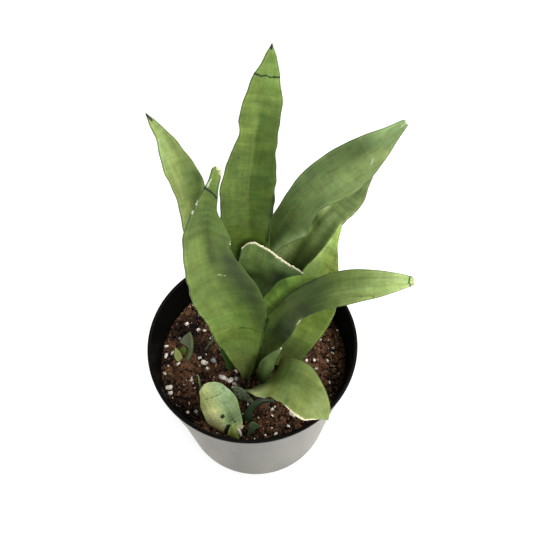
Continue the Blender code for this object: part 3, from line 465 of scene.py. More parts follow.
class PotSettings(bpy.types.PropertyGroup):
    outside: ColourProperty(
        name="Outside", description="Colour of the pot's outer wall", default=(0.085, 0.083, 0.07))
    inside: ColourProperty(
        name="Inside", description="Colour of the lip and the inner wall", default=(0.0028, 0.0028, 0.0026))
    streaks: FloatProperty(
        name="Streaks", description="Strength of the upright streaks on the outer wall",
        subtype="FACTOR", min=0, max=1, default=0.42)
    steps: IntProperty(
        name="Steps", description="Number of steps round the turned wall", min=48, max=512, default=192)
    lip_ripple: LengthProperty(
        name="Lip Ripple", description="How far the thin lip strays from a true circle",
        max=0.002, default=0.0002)


class SoilSettings(bpy.types.PropertyGroup):
    # The near-black of the hollows is partly the wet mix's own colour and partly painted shade.
    dark: ColourProperty(
        name="Dark", description="Colour of the wet soil in the hollows", default=(0.0062, 0.004, 0.0028))
    brown: ColourProperty(
        name="Brown", description="Colour of the crumbs that stand up", default=(0.15, 0.073, 0.037))
    perlite: ColourProperty(
        name="Perlite", description="Colour of the white grains", default=(0.93, 0.86, 0.74))
    steps: IntProperty(
        name="Steps", description="Number of steps across the surface", min=60, max=300, default=276)
    relief: LengthProperty(
        name="Relief", description="Height of the crumbs in the surface", max=0.004, default=0.0016)
    crumbs: IntProperty(
        name="Crumbs", description="Number of loose crumbs", min=0, max=4000, default=1900)
    small_grains: IntProperty(
        name="Small Grains", description="Number of small white grains", min=0, max=1000, default=210)
    chips: IntProperty(
        name="Chips", description="Number of bark chips", min=0, max=1000, default=260)
    fibres: IntProperty(
        name="Fibres", description="Number of short peat fibres", min=0, max=1000, default=220)


class BladeSettings(bpy.types.PropertyGroup):
    row_length: FloatProperty(
        name="Row Length", description="Distance between two rows of a blade's mesh",
        unit="LENGTH", min=0.0004, max=0.01, default=0.0009)
    columns: IntProperty(
        name="Columns", description="Number of columns between the two margins", min=8, max=80, default=34)
    green: ColourProperty(
        name="Green", description="Colour of a blade's lit tissue", default=(0.135, 0.2, 0.042))
    foot: ColourProperty(
        name="Foot", description="Colour of a blade's foot", default=(0.085, 0.11, 0.026))
    margin: ColourProperty(
        name="Margin", description="Colour of the thin line along a blade's edge",
        default=(0.045, 0.075, 0.022))
    dark: ColourProperty(
        name="Crease", description="Colour of creases, holes and sharp tips", default=(0.012, 0.02, 0.01))
    dry: ColourProperty(
        name="Dry", description="Colour of dried edges and ends", default=(0.86, 0.8, 0.56))
    pale: ColourProperty(
        name="Scratch", description="Colour of pale scratches", default=(0.55, 0.58, 0.42))
    uneven: LengthProperty(
        name="Uneven Margin", description="How far a blade's outline strays from its even curve",
        max=0.001, default=0.00022)
    ripple: LengthProperty(
        name="Ripple", description="Height of the low ripples across a blade", max=0.001, default=0.00008)
    keel: LengthProperty(
        name="Keel", description="Height of the rounded rib on a blade's outer side",
        max=0.002, default=0.00035)


class StageSettings(bpy.types.PropertyGroup):
    floor: ColourProperty(name="Floor", description="Colour of the floor", default=(0.5, 0.5, 0.5))
    glow: FloatProperty(
        name="Glow", description="How far the floor is lifted to white where the camera sees it",
        min=0, max=1, default=0.6)
    mirrored: FloatProperty(
        name="Mirrored", description="Light of the floor where a glossy wall mirrors it",
        min=0, max=2, default=0.48)
    sky: FloatProperty(
        name="Sky", description="Strength of the even light from all round", min=0, max=5, default=0.8)
    key_power: FloatProperty(
        name="Key Power", description="Power of the large light over the right",
        unit="POWER", min=0, max=500, default=15)
    fill_power: FloatProperty(
        name="Fill Power", description="Power of the light at the front right",
        unit="POWER", min=0, max=500, default=9)
    lens: FloatProperty(
        name="Lens", description="Focal length of the camera in mm", min=10, max=200, default=37.8)
    tilt: FloatProperty(
        name="Tilt", description="How far the camera looks up from straight down",
        subtype="ANGLE", min=0, max=math.pi / 2, default=math.radians(35.6))
    roll: FloatProperty(
        name="Roll", description="Turn of the camera about its line of sight",
        subtype="ANGLE", min=-0.5, max=0.5, default=math.radians(-1.2))
    place: FloatVectorProperty(
        name="Place", description="Where the camera stands",
        subtype="TRANSLATION", unit="LENGTH", size=3, default=(0.0114, -0.194, 0.485))


def new_tree(name, kind, inputs, outputs):
    """A node group with named sockets. Returns the tree, the input sockets and the output sockets."""
    tree = bpy.data.node_groups.new(name, kind)
    for sockets, in_out in ((inputs, "INPUT"), (outputs, "OUTPUT")):
        for label, value_kind in sockets:
            tree.interface.new_socket(label, in_out=in_out, socket_type="NodeSocket" + value_kind)
    return tree, tree.nodes.new("NodeGroupInput").outputs, tree.nodes.new("NodeGroupOutput").inputs


def node(tree, kind, inputs=None, **settings):
    """Adds a node, sets its options, then fills or links its inputs by name or number."""
    made = tree.nodes.new(kind)
    for key, value in settings.items():
        setattr(made, key, value)
    for key, value in (inputs or {}).items():
        if isinstance(value, bpy.types.NodeSocket):
            tree.links.new(value, made.inputs[key])
        else:
            made.inputs[key].default_value = value
    return made


def calc(tree, operation, *values, clamp=False):
    made = node(tree, "ShaderNodeMath", dict(enumerate(values)), operation=operation, use_clamp=clamp)
    return made.outputs[0]


def times(tree, a, b, **options):
    return calc(tree, "MULTIPLY", a, b, **options)


def centred(tree, pattern):
    """A pattern from 0 to 1, moved to lie about 0."""
    return calc(tree, "SUBTRACT", pattern, 0.5)


def vector_calc(tree, operation, *values):
    made = node(tree, "ShaderNodeVectorMath", dict(enumerate(values)), operation=operation)
    return made.outputs[0]


def scaled(tree, colour, factor):
    """A colour or vector times one number."""
    made = node(tree, "ShaderNodeVectorMath", {0: colour, "Scale": factor}, operation="SCALE")
    return made.outputs[0]


def varied(tree, colour, pattern, strength):
    """A colour made brighter and darker by a pattern from 0 to 1."""
    return scaled(tree, colour, calc(tree, "MULTIPLY_ADD", centred(tree, pattern), strength, 1.0))


def mixed(tree, share, a, b):
    made = node(tree, "ShaderNodeMix", {0: share, 6: a, 7: b}, data_type="RGBA")
    return made.outputs[2]


def eased(tree, value, low, high, at_low=0.0, at_high=1.0):
    """A soft step from one value to another while the input goes from low to high."""
    made = node(tree, "ShaderNodeMapRange",
                {0: value, 1: low, 2: high, 3: at_low, 4: at_high}, interpolation_type="SMOOTHSTEP")
    return made.outputs[0]


def noise(tree, vector, scale, detail=2.0, roughness=0.5, distortion=0.0):
    made = node(tree, "ShaderNodeTexNoise", {"Vector": vector, "Scale": scale, "Detail": detail,
                                             "Roughness": roughness, "Distortion": distortion})
    return made.outputs[0]


def attribute(tree, name):
    return node(tree, "ShaderNodeAttribute", attribute_name=name).outputs["Vector"]


def object_place(tree):
    return node(tree, "ShaderNodeTexCoord").outputs["Object"]


def split(tree, vector):
    return node(tree, "ShaderNodeSeparateXYZ", {0: vector}).outputs


def joined(tree, x, y, z):
    return node(tree, "ShaderNodeCombineXYZ", {0: x, 1: y, 2: z}).outputs[0]


def rgba(colour):
    return (*colour, 1.0)


def principled(name, **constants):
    """A new material's tree and shader, with its even values set on the shader's own sockets."""
    material = bpy.data.materials.new(name)
    material.use_nodes = True
    shader = material.node_tree.nodes["Principled BSDF"]
    for key, value in constants.items():
        shader.inputs[key.replace("_", " ")].default_value = value
    return material, material.node_tree, shader


def dress(tree, shader, colour, roughness):
    tree.links.new(colour, shader.inputs["Base Color"])
    tree.links.new(roughness, shader.inputs["Roughness"])


def add_bump(tree, shader, height, distance, strength):
    bump = node(tree, "ShaderNodeBump", {"Height": height, "Distance": distance, "Strength": strength})
    tree.links.new(bump.outputs[0], shader.inputs["Normal"])


def blade_tissue():
    """Colour, roughness and height of a blade's skin, in mm across and along the blade."""
    colours = ("Left", "Right", "Foot", "Margin", "Dark", "Dry", "Pale")
    numbers = ("Soft", "Bands", "Streaks", "Mottle", "Speckle", "Freckles")
    tree, given, result = new_tree(
        "blade_tissue", "ShaderNodeTree",
        [(name, "Color") for name in colours] + [(name, "Float") for name in numbers]
        + [("Offset", "Vector")],
        [("Color", "Color"), ("Roughness", "Float"), ("Height", "Float")])
    place = attribute(tree, "place")
    across, _, side = split(tree, place)
    dry, dark, pale = split(tree, attribute(tree, "spot"))
    margin, share, tone_and_painted_light = split(tree, attribute(tree, "form"))
    here = vector_calc(tree, "ADD", place, given["Offset"])
    x, y, z = split(tree, here)
    bowed = calc(tree, "SUBTRACT", y, times(tree, times(tree, across, across), 0.02))

    def drawn_out(across_scale, length, length_scale, *kind):
        """Noise with its own scale across and along the blade."""
        return noise(tree, joined(tree, times(tree, x, across_scale), times(tree, length, length_scale), z),
                     1.0, *kind)

    # The two halves take their own tints, which also paint light on a half that faces it and shade on the
    # other.
    half = eased(tree, across, times(tree, given["Soft"], -1.0), given["Soft"])
    colour = mixed(tree, half, given["Left"], given["Right"])
    colour = mixed(tree, eased(tree, share, 0.42, 0.16), colour, given["Foot"])
    patches = noise(tree, vector_calc(tree, "MULTIPLY", here, (0.16, 0.08, 1.0)), 1.0, 4.0, 0.6)
    colour = varied(tree, colour, patches, times(tree, given["Mottle"], 6.0))
    hue = noise(tree, vector_calc(tree, "MULTIPLY", here, (0.07, 0.045, -1.0)), 1.0, 3.0, 0.55)
    yellower = vector_calc(tree, "MULTIPLY", colour, (1.04, 1.01, 0.95))
    bluer = vector_calc(tree, "MULTIPLY", colour, (0.95, 1.0, 1.05))
    colour = mixed(tree, eased(tree, hue, 0.36, 0.64), bluer, yellower)
    broad = drawn_out(0.045, bowed, 0.11, 2.0, 0.55, 0.5)
    narrow = drawn_out(0.08, bowed, 0.34, 3.0, 0.6, 0.5)
    band = calc(tree, "MULTIPLY_ADD", broad, 0.55, times(tree, narrow, 0.45))
    band = eased(tree, band, 0.4, 0.6)
    banded = vector_calc(tree, "MULTIPLY", colour, (0.62, 0.68, 0.58))
    colour = mixed(tree, times(tree, band, given["Bands"], clamp=True),
                   scaled(tree, colour, calc(tree, "MULTIPLY_ADD", given["Bands"], 0.2, 1.0)), banded)
    fibres = drawn_out(0.62, y, 0.03, 4.0, 0.75)
    colour = varied(tree, colour, fibres, times(tree, given["Streaks"], 4.0))
    fine = noise(tree, here, 0.75, 4.0, 0.75)
    colour = varied(tree, colour, fine, times(tree, given["Speckle"], 6.0))
    dots = eased(tree, noise(tree, here, 0.62, 1.0, 0.4, 0.3), 0.66, 0.72)
    dots = times(tree, dots, times(tree, given["Freckles"], eased(tree, across, 2.0, 9.0)))
    colour = mixed(tree, times(tree, dots, 0.8), colour, given["Dark"])
    under = times(tree, side, 0.35)
    colour = mixed(tree, under, colour, vector_calc(tree, "MULTIPLY", colour, (1.12, 1.1, 1.3)))
    # Painted light and shade: the tone, partly the blade's own, lightens or darkens the colour, the darker
    # places greener and the lighter ones paler.
    tone_and_painted_light_factor = joined(tree, calc(tree, "POWER", tone_and_painted_light, 1.12), tone_and_painted_light, calc(tree, "POWER", tone_and_painted_light, 1.35))
    colour = vector_calc(tree, "MULTIPLY", colour, tone_and_painted_light_factor)
    # Painted highlight: a light line just inside each margin, where an edge catches the light.
    painted_rim_highlight = times(tree, eased(tree, margin, 0.45, 0.8), eased(tree, margin, 1.6, 0.9))
    colour = scaled(tree, colour, calc(tree, "MULTIPLY_ADD", painted_rim_highlight, 0.22, 1.0))
    colour = mixed(tree, eased(tree, margin, 0.55, 0.2, 0.0, 0.45), colour, given["Margin"])
    colour = mixed(tree, pale, colour, given["Pale"])
    crumpled = eased(tree, noise(tree, here, 0.9, 3.0, 0.7), 0.3, 0.7, 0.45, 1.15)
    colour = mixed(tree, dry, colour, scaled(tree, given["Dry"], crumpled))
    colour = mixed(tree, dark, colour, given["Dark"])
    rough = calc(tree, "MULTIPLY_ADD", fibres, 0.18, 0.36)
    rough = calc(tree, "ADD", rough, times(tree, dry, 0.3))
    height = calc(tree, "MULTIPLY_ADD", fibres, 0.6, times(tree, fine, 0.35))
    height = calc(tree, "MULTIPLY_ADD", band, -0.5, height)
    for name, value in (("Color", colour), ("Roughness", rough), ("Height", height)):
        tree.links.new(value, result[name])
    return tree


def blade_material(name, look, tissue, settings, offset):
    """One blade's finish: the shared tissue with this blade's own tints."""
    material, tree, shader = principled(name + "_skin", Specular_IOR_Level=0.25)

    def tinted(colour, tint):
        return rgba([c * k for c, k in zip(colour, tint)])

    values = {
        "Left": tinted(settings.green, look["left"]), "Right": tinted(settings.green, look["right"]),
        "Foot": tinted(settings.foot, look["foot"]), "Offset": (offset * 31.7, offset * 47.3, offset * 5.9)}
    for key in ("Margin", "Dark", "Dry", "Pale"):
        values[key] = rgba(getattr(settings, key.lower()))
    for key in ("Soft", "Bands", "Streaks", "Mottle", "Speckle", "Freckles"):
        values[key] = look[key.lower()]
    group = node(tree, "ShaderNodeGroup", node_tree=tissue)
    for key, value in values.items():
        group.inputs[key].default_value = value
    dress(tree, shader, group.outputs["Color"], group.outputs["Roughness"])
    add_bump(tree, shader, group.outputs["Height"], 0.00006, 0.8)
    return material


def pot_material(settings):
    """Black moulded plastic outside: it mirrors what it stands on, with upright streaks, scuffs and painted
    reflection on its body.
    """
    material, tree, shader = principled("pot_plastic_skin", Specular_IOR_Level=0.45)
    here = object_place(tree)
    height = split(tree, here)[2]
    step = (POT_HEIGHT - COLLAR_HEIGHT) * MM
    upright = noise(tree, vector_calc(tree, "MULTIPLY", here, (95.0, 95.0, 6.0)), 1.0, 3.0, 0.6)
    broad = noise(tree, vector_calc(tree, "MULTIPLY", here, (26.0, 26.0, 7.0)), 1.0, 2.0, 0.5)
    streak = calc(tree, "ADD", centred(tree, upright), centred(tree, broad))
    streaks_and_painted_reflection = calc(tree, "MULTIPLY_ADD", streak, settings.streaks * 4.0, 1.0)
    # Painted reflection: the body under the collar is made lighter and the collar darker.
    streaks_and_painted_reflection = times(tree, streaks_and_painted_reflection, eased(tree, height, step - 0.003, step + 0.004, 1.25, 0.75))
    colour = scaled(tree, settings.outside, streaks_and_painted_reflection)
    scuff = eased(tree, noise(tree, here, 260.0, 4.0, 0.75, 1.5), 0.62, 0.74, 0.0, 0.3)
    colour = mixed(tree, scuff, colour, (0.11, 0.108, 0.1, 1.0))
    dust = times(tree, eased(tree, height, 0.03, 0.0, 0.0, 0.5), broad)
    colour = mixed(tree, dust, colour, (0.12, 0.115, 0.1, 1.0))
    dress(tree, shader, colour, calc(tree, "MULTIPLY_ADD", streak, settings.streaks * 0.4, 0.3, clamp=True))
    bump = calc(tree, "ADD", times(tree, upright, 0.6), noise(tree, here, 1500.0, 2.0, 0.5))
    add_bump(tree, shader, bump, 0.00003, 0.6)
    return material


def lining_material(settings):
    """The same plastic inside the pot and on its lip: dull, and soiled where the mix has touched it."""
    material, tree, shader = principled("pot_lining_skin", Specular_IOR_Level=0.04)
    grain = noise(tree, object_place(tree), 420.0, 5.0, 0.8)
    soiled = split(tree, attribute(tree, "soiled"))[0]
    dust = times(tree, eased(tree, grain, 0.56, 0.72, 0.0, 0.6), soiled)
    colour = mixed(tree, dust, rgba(settings.inside), (0.03, 0.018, 0.01, 1.0))
    dress(tree, shader, colour, calc(tree, "MULTIPLY_ADD", dust, 0.4, 0.45))
    add_bump(tree, shader, calc(tree, "ADD", grain, dust), 0.0001, 0.5)
    return material


def soil_shade_group():
    """Painted shade on the mix at a place: 1 where none is painted, near 0 in the listed spots where the
    plant and the pot's wall shade it.
    """
    tree, given, result = new_tree(
        "soil_shade_group", "ShaderNodeTree", [("Place", "Vector")], [("Dry", "Float")])
    flat = vector_calc(tree, "MULTIPLY", given["Place"], (1.0, 1.0, 0.0))
    wander = noise(tree, flat, 160.0, 2.0, 0.6)
    # The value named dry here is how little painted shade a place gets.
    dry = 1.0
    for x, y, reach, share in SOIL_SHADE_SPOTS:
        gap = node(tree, "ShaderNodeVectorMath", {0: flat, 1: (x * MM, y * MM, 0.0)}, operation="DISTANCE")
        gap = calc(tree, "MULTIPLY_ADD", wander, reach * 0.8 * MM, gap.outputs["Value"])
        dry = times(tree, eased(tree, gap, reach * 0.7 * MM, reach * 1.6 * MM, 1.0 - share, 1.0), dry)
    tree.links.new(dry, result["Dry"])
    return tree


def with_painted_shade(tree, here, colour):
    """A colour of the mix, darkened by the painted shade of the listed spots."""
    group = node(tree, "ShaderNodeGroup", node_tree=shared("soil_shade_group", soil_shade_group))
    tree.links.new(here, group.inputs["Place"])
    return scaled(tree, colour, group.outputs["Dry"])


def soil_material(settings):
    """Moist potting mix: brown on its crumbs and near black in its hollows, partly its own colour and partly
    painted shade.
    """
    material, tree, shader = principled("potting_soil_skin", Specular_IOR_Level=0.12)
    here = object_place(tree)
    relief = split(tree, attribute(tree, "relief"))[0]
    grain = noise(tree, here, 900.0, 4.0, 0.7)
    patch = noise(tree, here, 70.0, 3.0, 0.6)
    # Painted shade in part: the lower a place lies between crumbs, the nearer black it is coloured.
    share = times(tree, relief, calc(tree, "MULTIPLY_ADD", patch, 1.3, 0.1))
    share = calc(tree, "MULTIPLY_ADD", centred(tree, grain), 0.9, share)
    colour = mixed(tree, eased(tree, share, 0.18, 0.76), rgba(settings.dark), rgba(settings.brown))
    red = eased(tree, noise(tree, here, 300.0, 2.0, 0.6), 0.55, 0.75, 0.0, 0.5)
    colour = mixed(tree, red, colour, vector_calc(tree, "MULTIPLY", colour, (1.5, 1.05, 0.85)))
    bright = eased(tree, noise(tree, here, 1300.0, 1.0, 0.5), 0.7, 0.76)
    colour = mixed(tree, bright, colour, (0.3, 0.19, 0.11, 1.0))
    dress(tree, shader, with_painted_shade(tree, here, colour), eased(tree, grain, 0.3, 0.7, 0.65, 0.98))
    add_bump(tree, shader, grain, 0.0005, 0.8)
    return material


def grain_material(name, dark, light, scale, roughness, takes_painted_shade=True):
    """Loose litter: two colours by noise, so that no two pieces are alike, darker in the spots of painted
    shade.
    """
    material, tree, shader = principled(name, Specular_IOR_Level=0.12)
    here = object_place(tree)
    patch = noise(tree, here, scale, 3.0, 0.65)
    fine = noise(tree, here, scale * 6, 3.0, 0.7)
    share = calc(tree, "MULTIPLY_ADD", centred(tree, fine), 0.6, patch)
    colour = mixed(tree, eased(tree, share, 0.32, 0.68), rgba(dark), rgba(light))
    if takes_painted_shade:
        colour = with_painted_shade(tree, here, colour)
    dress(tree, shader, colour, eased(tree, fine, 0.3, 0.7, roughness - 0.15, roughness))
    add_bump(tree, shader, fine, 0.0002, 0.7)
    return material


def floor_material(settings):
    """Pale paper, white to the camera, with a warm and uneven light of its own in reflections."""
    material, tree, shader = principled("floor_paper", Specular_IOR_Level=0.1)
    here = object_place(tree)
    colour = Vector(settings.floor)
    share = noise(tree, here, 3.0, 2.0, 0.5)
    dress(tree, shader, mixed(tree, share, rgba(colour * 0.99), rgba(colour)),
          eased(tree, share, 0.0, 1.0, 0.85, 0.95))
    path = node(tree, "ShaderNodeLightPath").outputs
    glow_colour = mixed(tree, path["Is Glossy Ray"], (1, 1, 1, 1), (0.985, 0.93, 0.79, 1))
    tree.links.new(glow_colour, shader.inputs["Emission Color"])
    side = split(tree, here)[0]
    uneven = calc(tree, "MULTIPLY_ADD", calc(tree, "MULTIPLY_ADD", side, 75.0, 1.8), side, 0.83)
    cloud = eased(tree, noise(tree, here, 32.0, 2.0, 0.5), 0.38, 0.62, 0.84, 1.2)
    mirrored = times(tree, calc(tree, "MINIMUM", uneven, 1.8), settings.mirrored)
    mirrored = times(tree, mirrored, cloud)
    glow = times(tree, path["Is Camera Ray"], settings.glow)
    glow = calc(tree, "MULTIPLY_ADD", path["Is Glossy Ray"], mirrored, glow)
    tree.links.new(glow, shader.inputs["Emission Strength"])
    return material


def smooth_through(knots, values, at):
    """Cubic curve through the knots, with each slope taken from the neighbours."""
    knots = np.asarray(knots, float)
    values = np.asarray(values, float)
    slopes = np.gradient(values, knots, axis=0)
    at = np.clip(at, knots[0], knots[-1])
    index = np.clip(np.searchsorted(knots, at, side="right") - 1, 0, len(knots) - 2)
    step = (knots[index + 1] - knots[index])[:, None]
    s = (at - knots[index])[:, None] / step
    return (
        (1 + 2 * s) * (1 - s) ** 2 * values[index]
        + s * (1 - s) ** 2 * step * slopes[index]
        + s * s * (3 - 2 * s) * values[index + 1]
        + s * s * (s - 1) * step * slopes[index + 1]
    )


def unit(vectors):
    return vectors / np.maximum(np.linalg.norm(vectors, axis=-1, keepdims=True), 1e-12)


def soft_step(value, low, high):
    share = np.clip((value - low) / (high - low), 0, 1)
    return share * share * (3 - 2 * share)


def ripples(along, lengths, seed):
    """A sum of sine waves of these lengths with random starts, from -1 to 1."""
    rng = np.random.default_rng(seed)
    total = np.zeros_like(along)
    for length in lengths:
        total = total + np.sin(TURN * along / length + rng.uniform(0, TURN))
    return total / len(lengths)


def lattice_cells(x, y, size):
    """The cell of a lattice that each point lies in, and where it lies in it."""
    u, v = (x + PATTERN_SHIFT) / size, (y + PATTERN_SHIFT) / size
    i, j = np.floor(u).astype(int), np.floor(v).astype(int)
    return u, v, i, j


def lumps(x, y, size, seed):
    """Smooth noise from 0 to 1 whose lumps are about that many mm wide."""
    lattice = np.random.default_rng(seed).random((LATTICE, LATTICE))
    u, v, i, j = lattice_cells(x, y, size)
    s, t = soft_step(u - i, 0, 1), soft_step(v - j, 0, 1)
    low, high = (
        lattice[i % LATTICE, row % LATTICE] * (1 - s) + lattice[(i + 1) % LATTICE, row % LATTICE] * s
        for row in (j, j + 1))
    return low * (1 - t) + high * t


def pebbles(x, y, size, seed):
    """Rounded crumbs, one in each cell of a shaken lattice: 1 on top of a crumb, 0 between them."""
    rng = np.random.default_rng(seed)
    shake = rng.random((2, LATTICE, LATTICE))
    reach = rng.uniform(0.45, 0.85, (LATTICE, LATTICE))
    u, v, i, j = lattice_cells(x, y, size)
    best = np.zeros_like(u)
    for a in (i - 1, i, i + 1):
        for b in (j - 1, j, j + 1):
            p, q = a % LATTICE, b % LATTICE
            gap = np.hypot(u - a - shake[0, p, q], v - b - shake[1, p, q]) / reach[p, q]
            best = np.maximum(best, 1 - gap * gap)
    return np.sqrt(np.clip(best, 0, 1))


def path_distance(x, y, path):
    """Distance in mm from each point of a blade to a path on it."""
    best = np.full(x.shape, 1e9)
    for (ax, ay), (bx, by) in zip(path, path[1:] or path):
        dx, dy = bx - ax, by - ay
        share = np.clip(((x - ax) * dx + (y - ay) * dy) / max(dx * dx + dy * dy, 1e-9), 0, 1)
        best = np.minimum(best, np.hypot(x - ax - share * dx, y - ay - share * dy))
    return best


class Blade:
    """One blade in mm, as a fine grid of rows from foot to tip and columns from left to right."""

    def __init__(self, spec, look, settings, seed):
        self.spine = np.asarray(spec["spine"], float)
        runs = np.linalg.norm(np.diff(self.spine, axis=0), axis=1)
        self.length = runs.sum()
        self.knots = np.concatenate([[0.0], np.cumsum(runs)]) / self.length
        self.widths = np.asarray(spec["widths"], float)
        self.faces = np.asarray(spec["faces"], float)
        self.fold = spec["fold"]
        self.wave = spec.get("wave", (0, 1, 0))
        self.thick = spec["thick"]
        self.end = np.asarray(spec.get("end", [(-1, 0), (1, 0)]), float)
        self.look = look
        self.settings = settings
        self.seed = seed
        self.t = self.row_shares()
        self.along = self.t * self.length
        self.sides = self.side_widths()

    def row_shares(self):
        """Even rows, with closer ones at the end and at each short mark."""
        rows = [np.linspace(0, 1, round(self.length / (self.settings.row_length / MM)))]
        rows.append(1 - np.array([0.08, 0.2, 0.35, 0.55, 0.8, 1.2, 1.7]) / self.length)
        for kind, width, _, path in self.look["marks"]:
            shares = [share for share, _ in path]
            low, high = min(shares) - width / self.length, max(shares) + width / self.length
            if high - low < 0.06 and kind not in ("shade", "glow"):
                rows.append(np.linspace(low, high, 3 + round((high - low) * self.length / 0.22)))
        t = np.unique(np.round(np.clip(np.concatenate(rows), 0, 1), 5))
        keep = np.concatenate([[True], np.diff(t) > 0.06 / self.length])
        return t[keep]

    def side_widths(self):
        """Width of the left and right side at each row, with an uneven margin, nicks and a closed tip."""
        sides = smooth_through(self.widths[:, 0], self.widths[:, 1:], self.t)
        sides = np.maximum(sides, NARROWEST)
        fade = np.clip(sides / 4, 0, 1) * np.clip(self.t[:, None] / 0.3, 0, 1)
        for k in (0, 1):
            waver = ripples(self.along, (41, 23, 13), self.seed * 10 + k)
            uneven = self.settings.uneven / MM * self.look["uneven"]
            sides[:, k] += uneven * 2 * waver * fade[:, k]
        for share, side, depth, half in self.look["nicks"]:
            gap = (self.along - share * self.length) / half
            sides[:, side] -= depth * np.clip(1 - gap * gap, 0, 1)
        if self.look["point"]:
            closing = np.sqrt(np.clip((1 - self.t) * self.length / self.look["point"], 0, 1))
            sides = sides * closing[:, None]
        return np.maximum(sides, 0.05)

    def across(self):
        """Signed distance from the midrib at each row and column: even inside, closer at the margins."""
        inner = np.linspace(-1, 1, self.settings.columns + 1)[1:-1]
        bands = np.minimum(EDGE_BAND, EDGE_SHARE * self.sides)
        edges = self.sides[..., None] - bands[..., None] * np.array(EDGE_COLUMNS)
        left, right = (self.sides - bands).T[..., None]
        middle = np.where(inner < 0, left, right) * inner
        return np.concatenate([-edges[:, 0, ::-1], middle, edges[:, 1]], axis=1)

    def middle(self, t):
        return smooth_through(self.knots, self.spine, t)

    def axes(self):
        """Lengthwise, inner-side and rightward directions at each row."""
        step = 0.001
        along = unit(self.middle(self.t + step) - self.middle(self.t - step))
        at = np.linspace(0, 1, len(self.faces))
        face = np.stack([np.interp(self.t, at, self.faces[:, k]) for k in range(3)], axis=1)
        normal = unit(face - along * (face * along).sum(axis=1, keepdims=True))
        return along, normal, np.cross(along, normal)

    def mark_masks(self, reach, along):
        """Dry, dark and pale shares at each point, how deep the marks lie, and the tone with its painted
        light and shade.
        """
        masks = {kind: 0 * reach for kind in ("dry", "dark", "pale")}
        sunk = 0 * reach
        tones_and_painted_light = np.asarray(self.look["tones_and_painted_light"], float)
        left, right = smooth_through(tones_and_painted_light[:, 0], tones_and_painted_light[:, 1:], self.t).T[..., None]
        soft = max(self.look["soft"], 0.5)
        tone_and_painted_light = left + (right - left) * soft_step(reach, -soft, soft)
        uneven = ripples(reach + 0.7 * along, (5.1, 2.9, 1.3), self.seed + 77)
        for kind, width, depth, path in self.look["marks"]:
            places = []
            for share, across in path:
                side = np.interp(share, self.t, self.sides[:, 1 if across > 0 else 0])
                places.append((across * side, share * self.length))
            gap = path_distance(reach, along, places)
            # Shade and glow marks paint shade and light into the tone: shadows where one blade lies over
            # another, lit edges and stripes; a few shades are real dark bands.
            if kind in ("shade", "glow"):
                strength = -depth if kind == "shade" else depth
                tone_and_painted_light = tone_and_painted_light * (1 + strength * np.exp(-((gap / width) ** 2)))
                continue
            mask = 1 - soft_step(gap + 0.3 * width * uneven, 0.65 * width, 1.2 * width)
            masks[kind] = np.maximum(masks[kind], mask)
            sunk = np.maximum(sunk, depth * mask)
        return masks, sunk, np.maximum(tone_and_painted_light, 0.05)

    def grids(self):
        """Inner and outer points, and what the material reads at each of them."""
        t, settings, look = self.t[:, None], self.settings, self.look
        along, normal, right = self.axes()
        reach = self.across()
        side = np.where(reach < 0, self.sides[:, :1], self.sides[:, 1:])
        u = reach / side
        mean = self.sides.mean(axis=1, keepdims=True)
        y = np.broadcast_to(self.along[:, None], reach.shape)
        masks, sunk, tone_and_painted_light = self.mark_masks(reach, y)
        foot_fold = FOOT_FOLD * np.clip(1 - t / FOOT_SHARE, 0, 1)
        bowl = reach**2 / mean
        vee = (np.sqrt(reach**2 + 0.64) - 0.8) * side / mean
        lift = (self.fold + foot_fold) * ((1 - look["vee"]) * bowl + look["vee"] * vee)
        size, count, start = self.wave
        fade = np.clip((t - 0.3) / 0.2, 0, 1) * np.clip((1 - t) / 0.1, 0, 1)
        lift = lift + size * fade * np.sin(TURN * count * t + start + 1.3 * (reach > 0)) * u**2
        wavy = np.where(reach < 0, ripples(y, (23, 13), self.seed + 5), ripples(y, (21, 12), self.seed + 6))
        lift = lift + 0.35 * fade * wavy * np.abs(u) ** 3 * np.clip(side / 6, 0, 1)
        lift = lift + settings.ripple / MM * ripples(y - 0.02 * reach**2, (6.3, 4.1, 2.7), self.seed + 7)
        dents = ripples(y, (47, 29), self.seed + 8) * ripples(reach + 9, (19, 13), self.seed)
        lift = lift + 0.2 * fade * dents
        crumple = ripples(reach + 0.4 * y, (3.1, 1.9), self.seed + 9) * ripples(y, (2.3, 1.5), self.seed + 3)
        lift = lift - sunk + 0.35 * masks["dry"] * crumple
        near_end = np.clip((t - 1 + CUT_SHARE) / CUT_SHARE, 0, 1)
        rise = smooth_through(self.end[:, 0], self.end[:, 1:], u.ravel()).reshape(u.shape) * near_end
        frayed = 0.5 * ripples(reach, (4.3, 2.1, 1.1), self.seed + 4) * np.clip((t - 0.97) / 0.03, 0, 1)
        rise = rise + frayed * (1 if look["point"] < 3 else 0) * np.clip(side / 2, 0, 1)
        surface = (self.middle(self.t)[:, None] + right[:, None] * reach[..., None]
                   + normal[:, None] * lift[..., None] + along[:, None] * rise[..., None])
        lean = unit(np.cross(np.gradient(surface, axis=1), np.gradient(surface, axis=0)))
        thick = self.thick * (1 - TIP_THINNING * t)
        half = 0.5 * np.maximum(thick * (1 - MARGIN_THINNING * u**2), THINNEST)
        half = half * (1 - DRY_THINNING * masks["dry"])
        rim = np.minimum(side - np.abs(reach), (1 - t) * self.length)
        edge = np.minimum(0.5 * np.maximum(thick * (1 - MARGIN_THINNING), THINNEST), 0.8 * side)
        rounding = np.sqrt(np.clip(1 - (1 - np.clip(rim / edge, 0, 1)) ** 2, 0, 1))
        half = np.minimum(half, 0.9 * side) * rounding
        keel = settings.keel / MM * np.exp(-((reach / 2.0) ** 2)) * (1 - t) * np.clip(side / 5, 0, 1)
        inner = surface + lean * half[..., None]
        outer = surface - lean * (half + keel * rounding)[..., None]
        place = np.stack([reach, y, 0 * y], axis=-1)
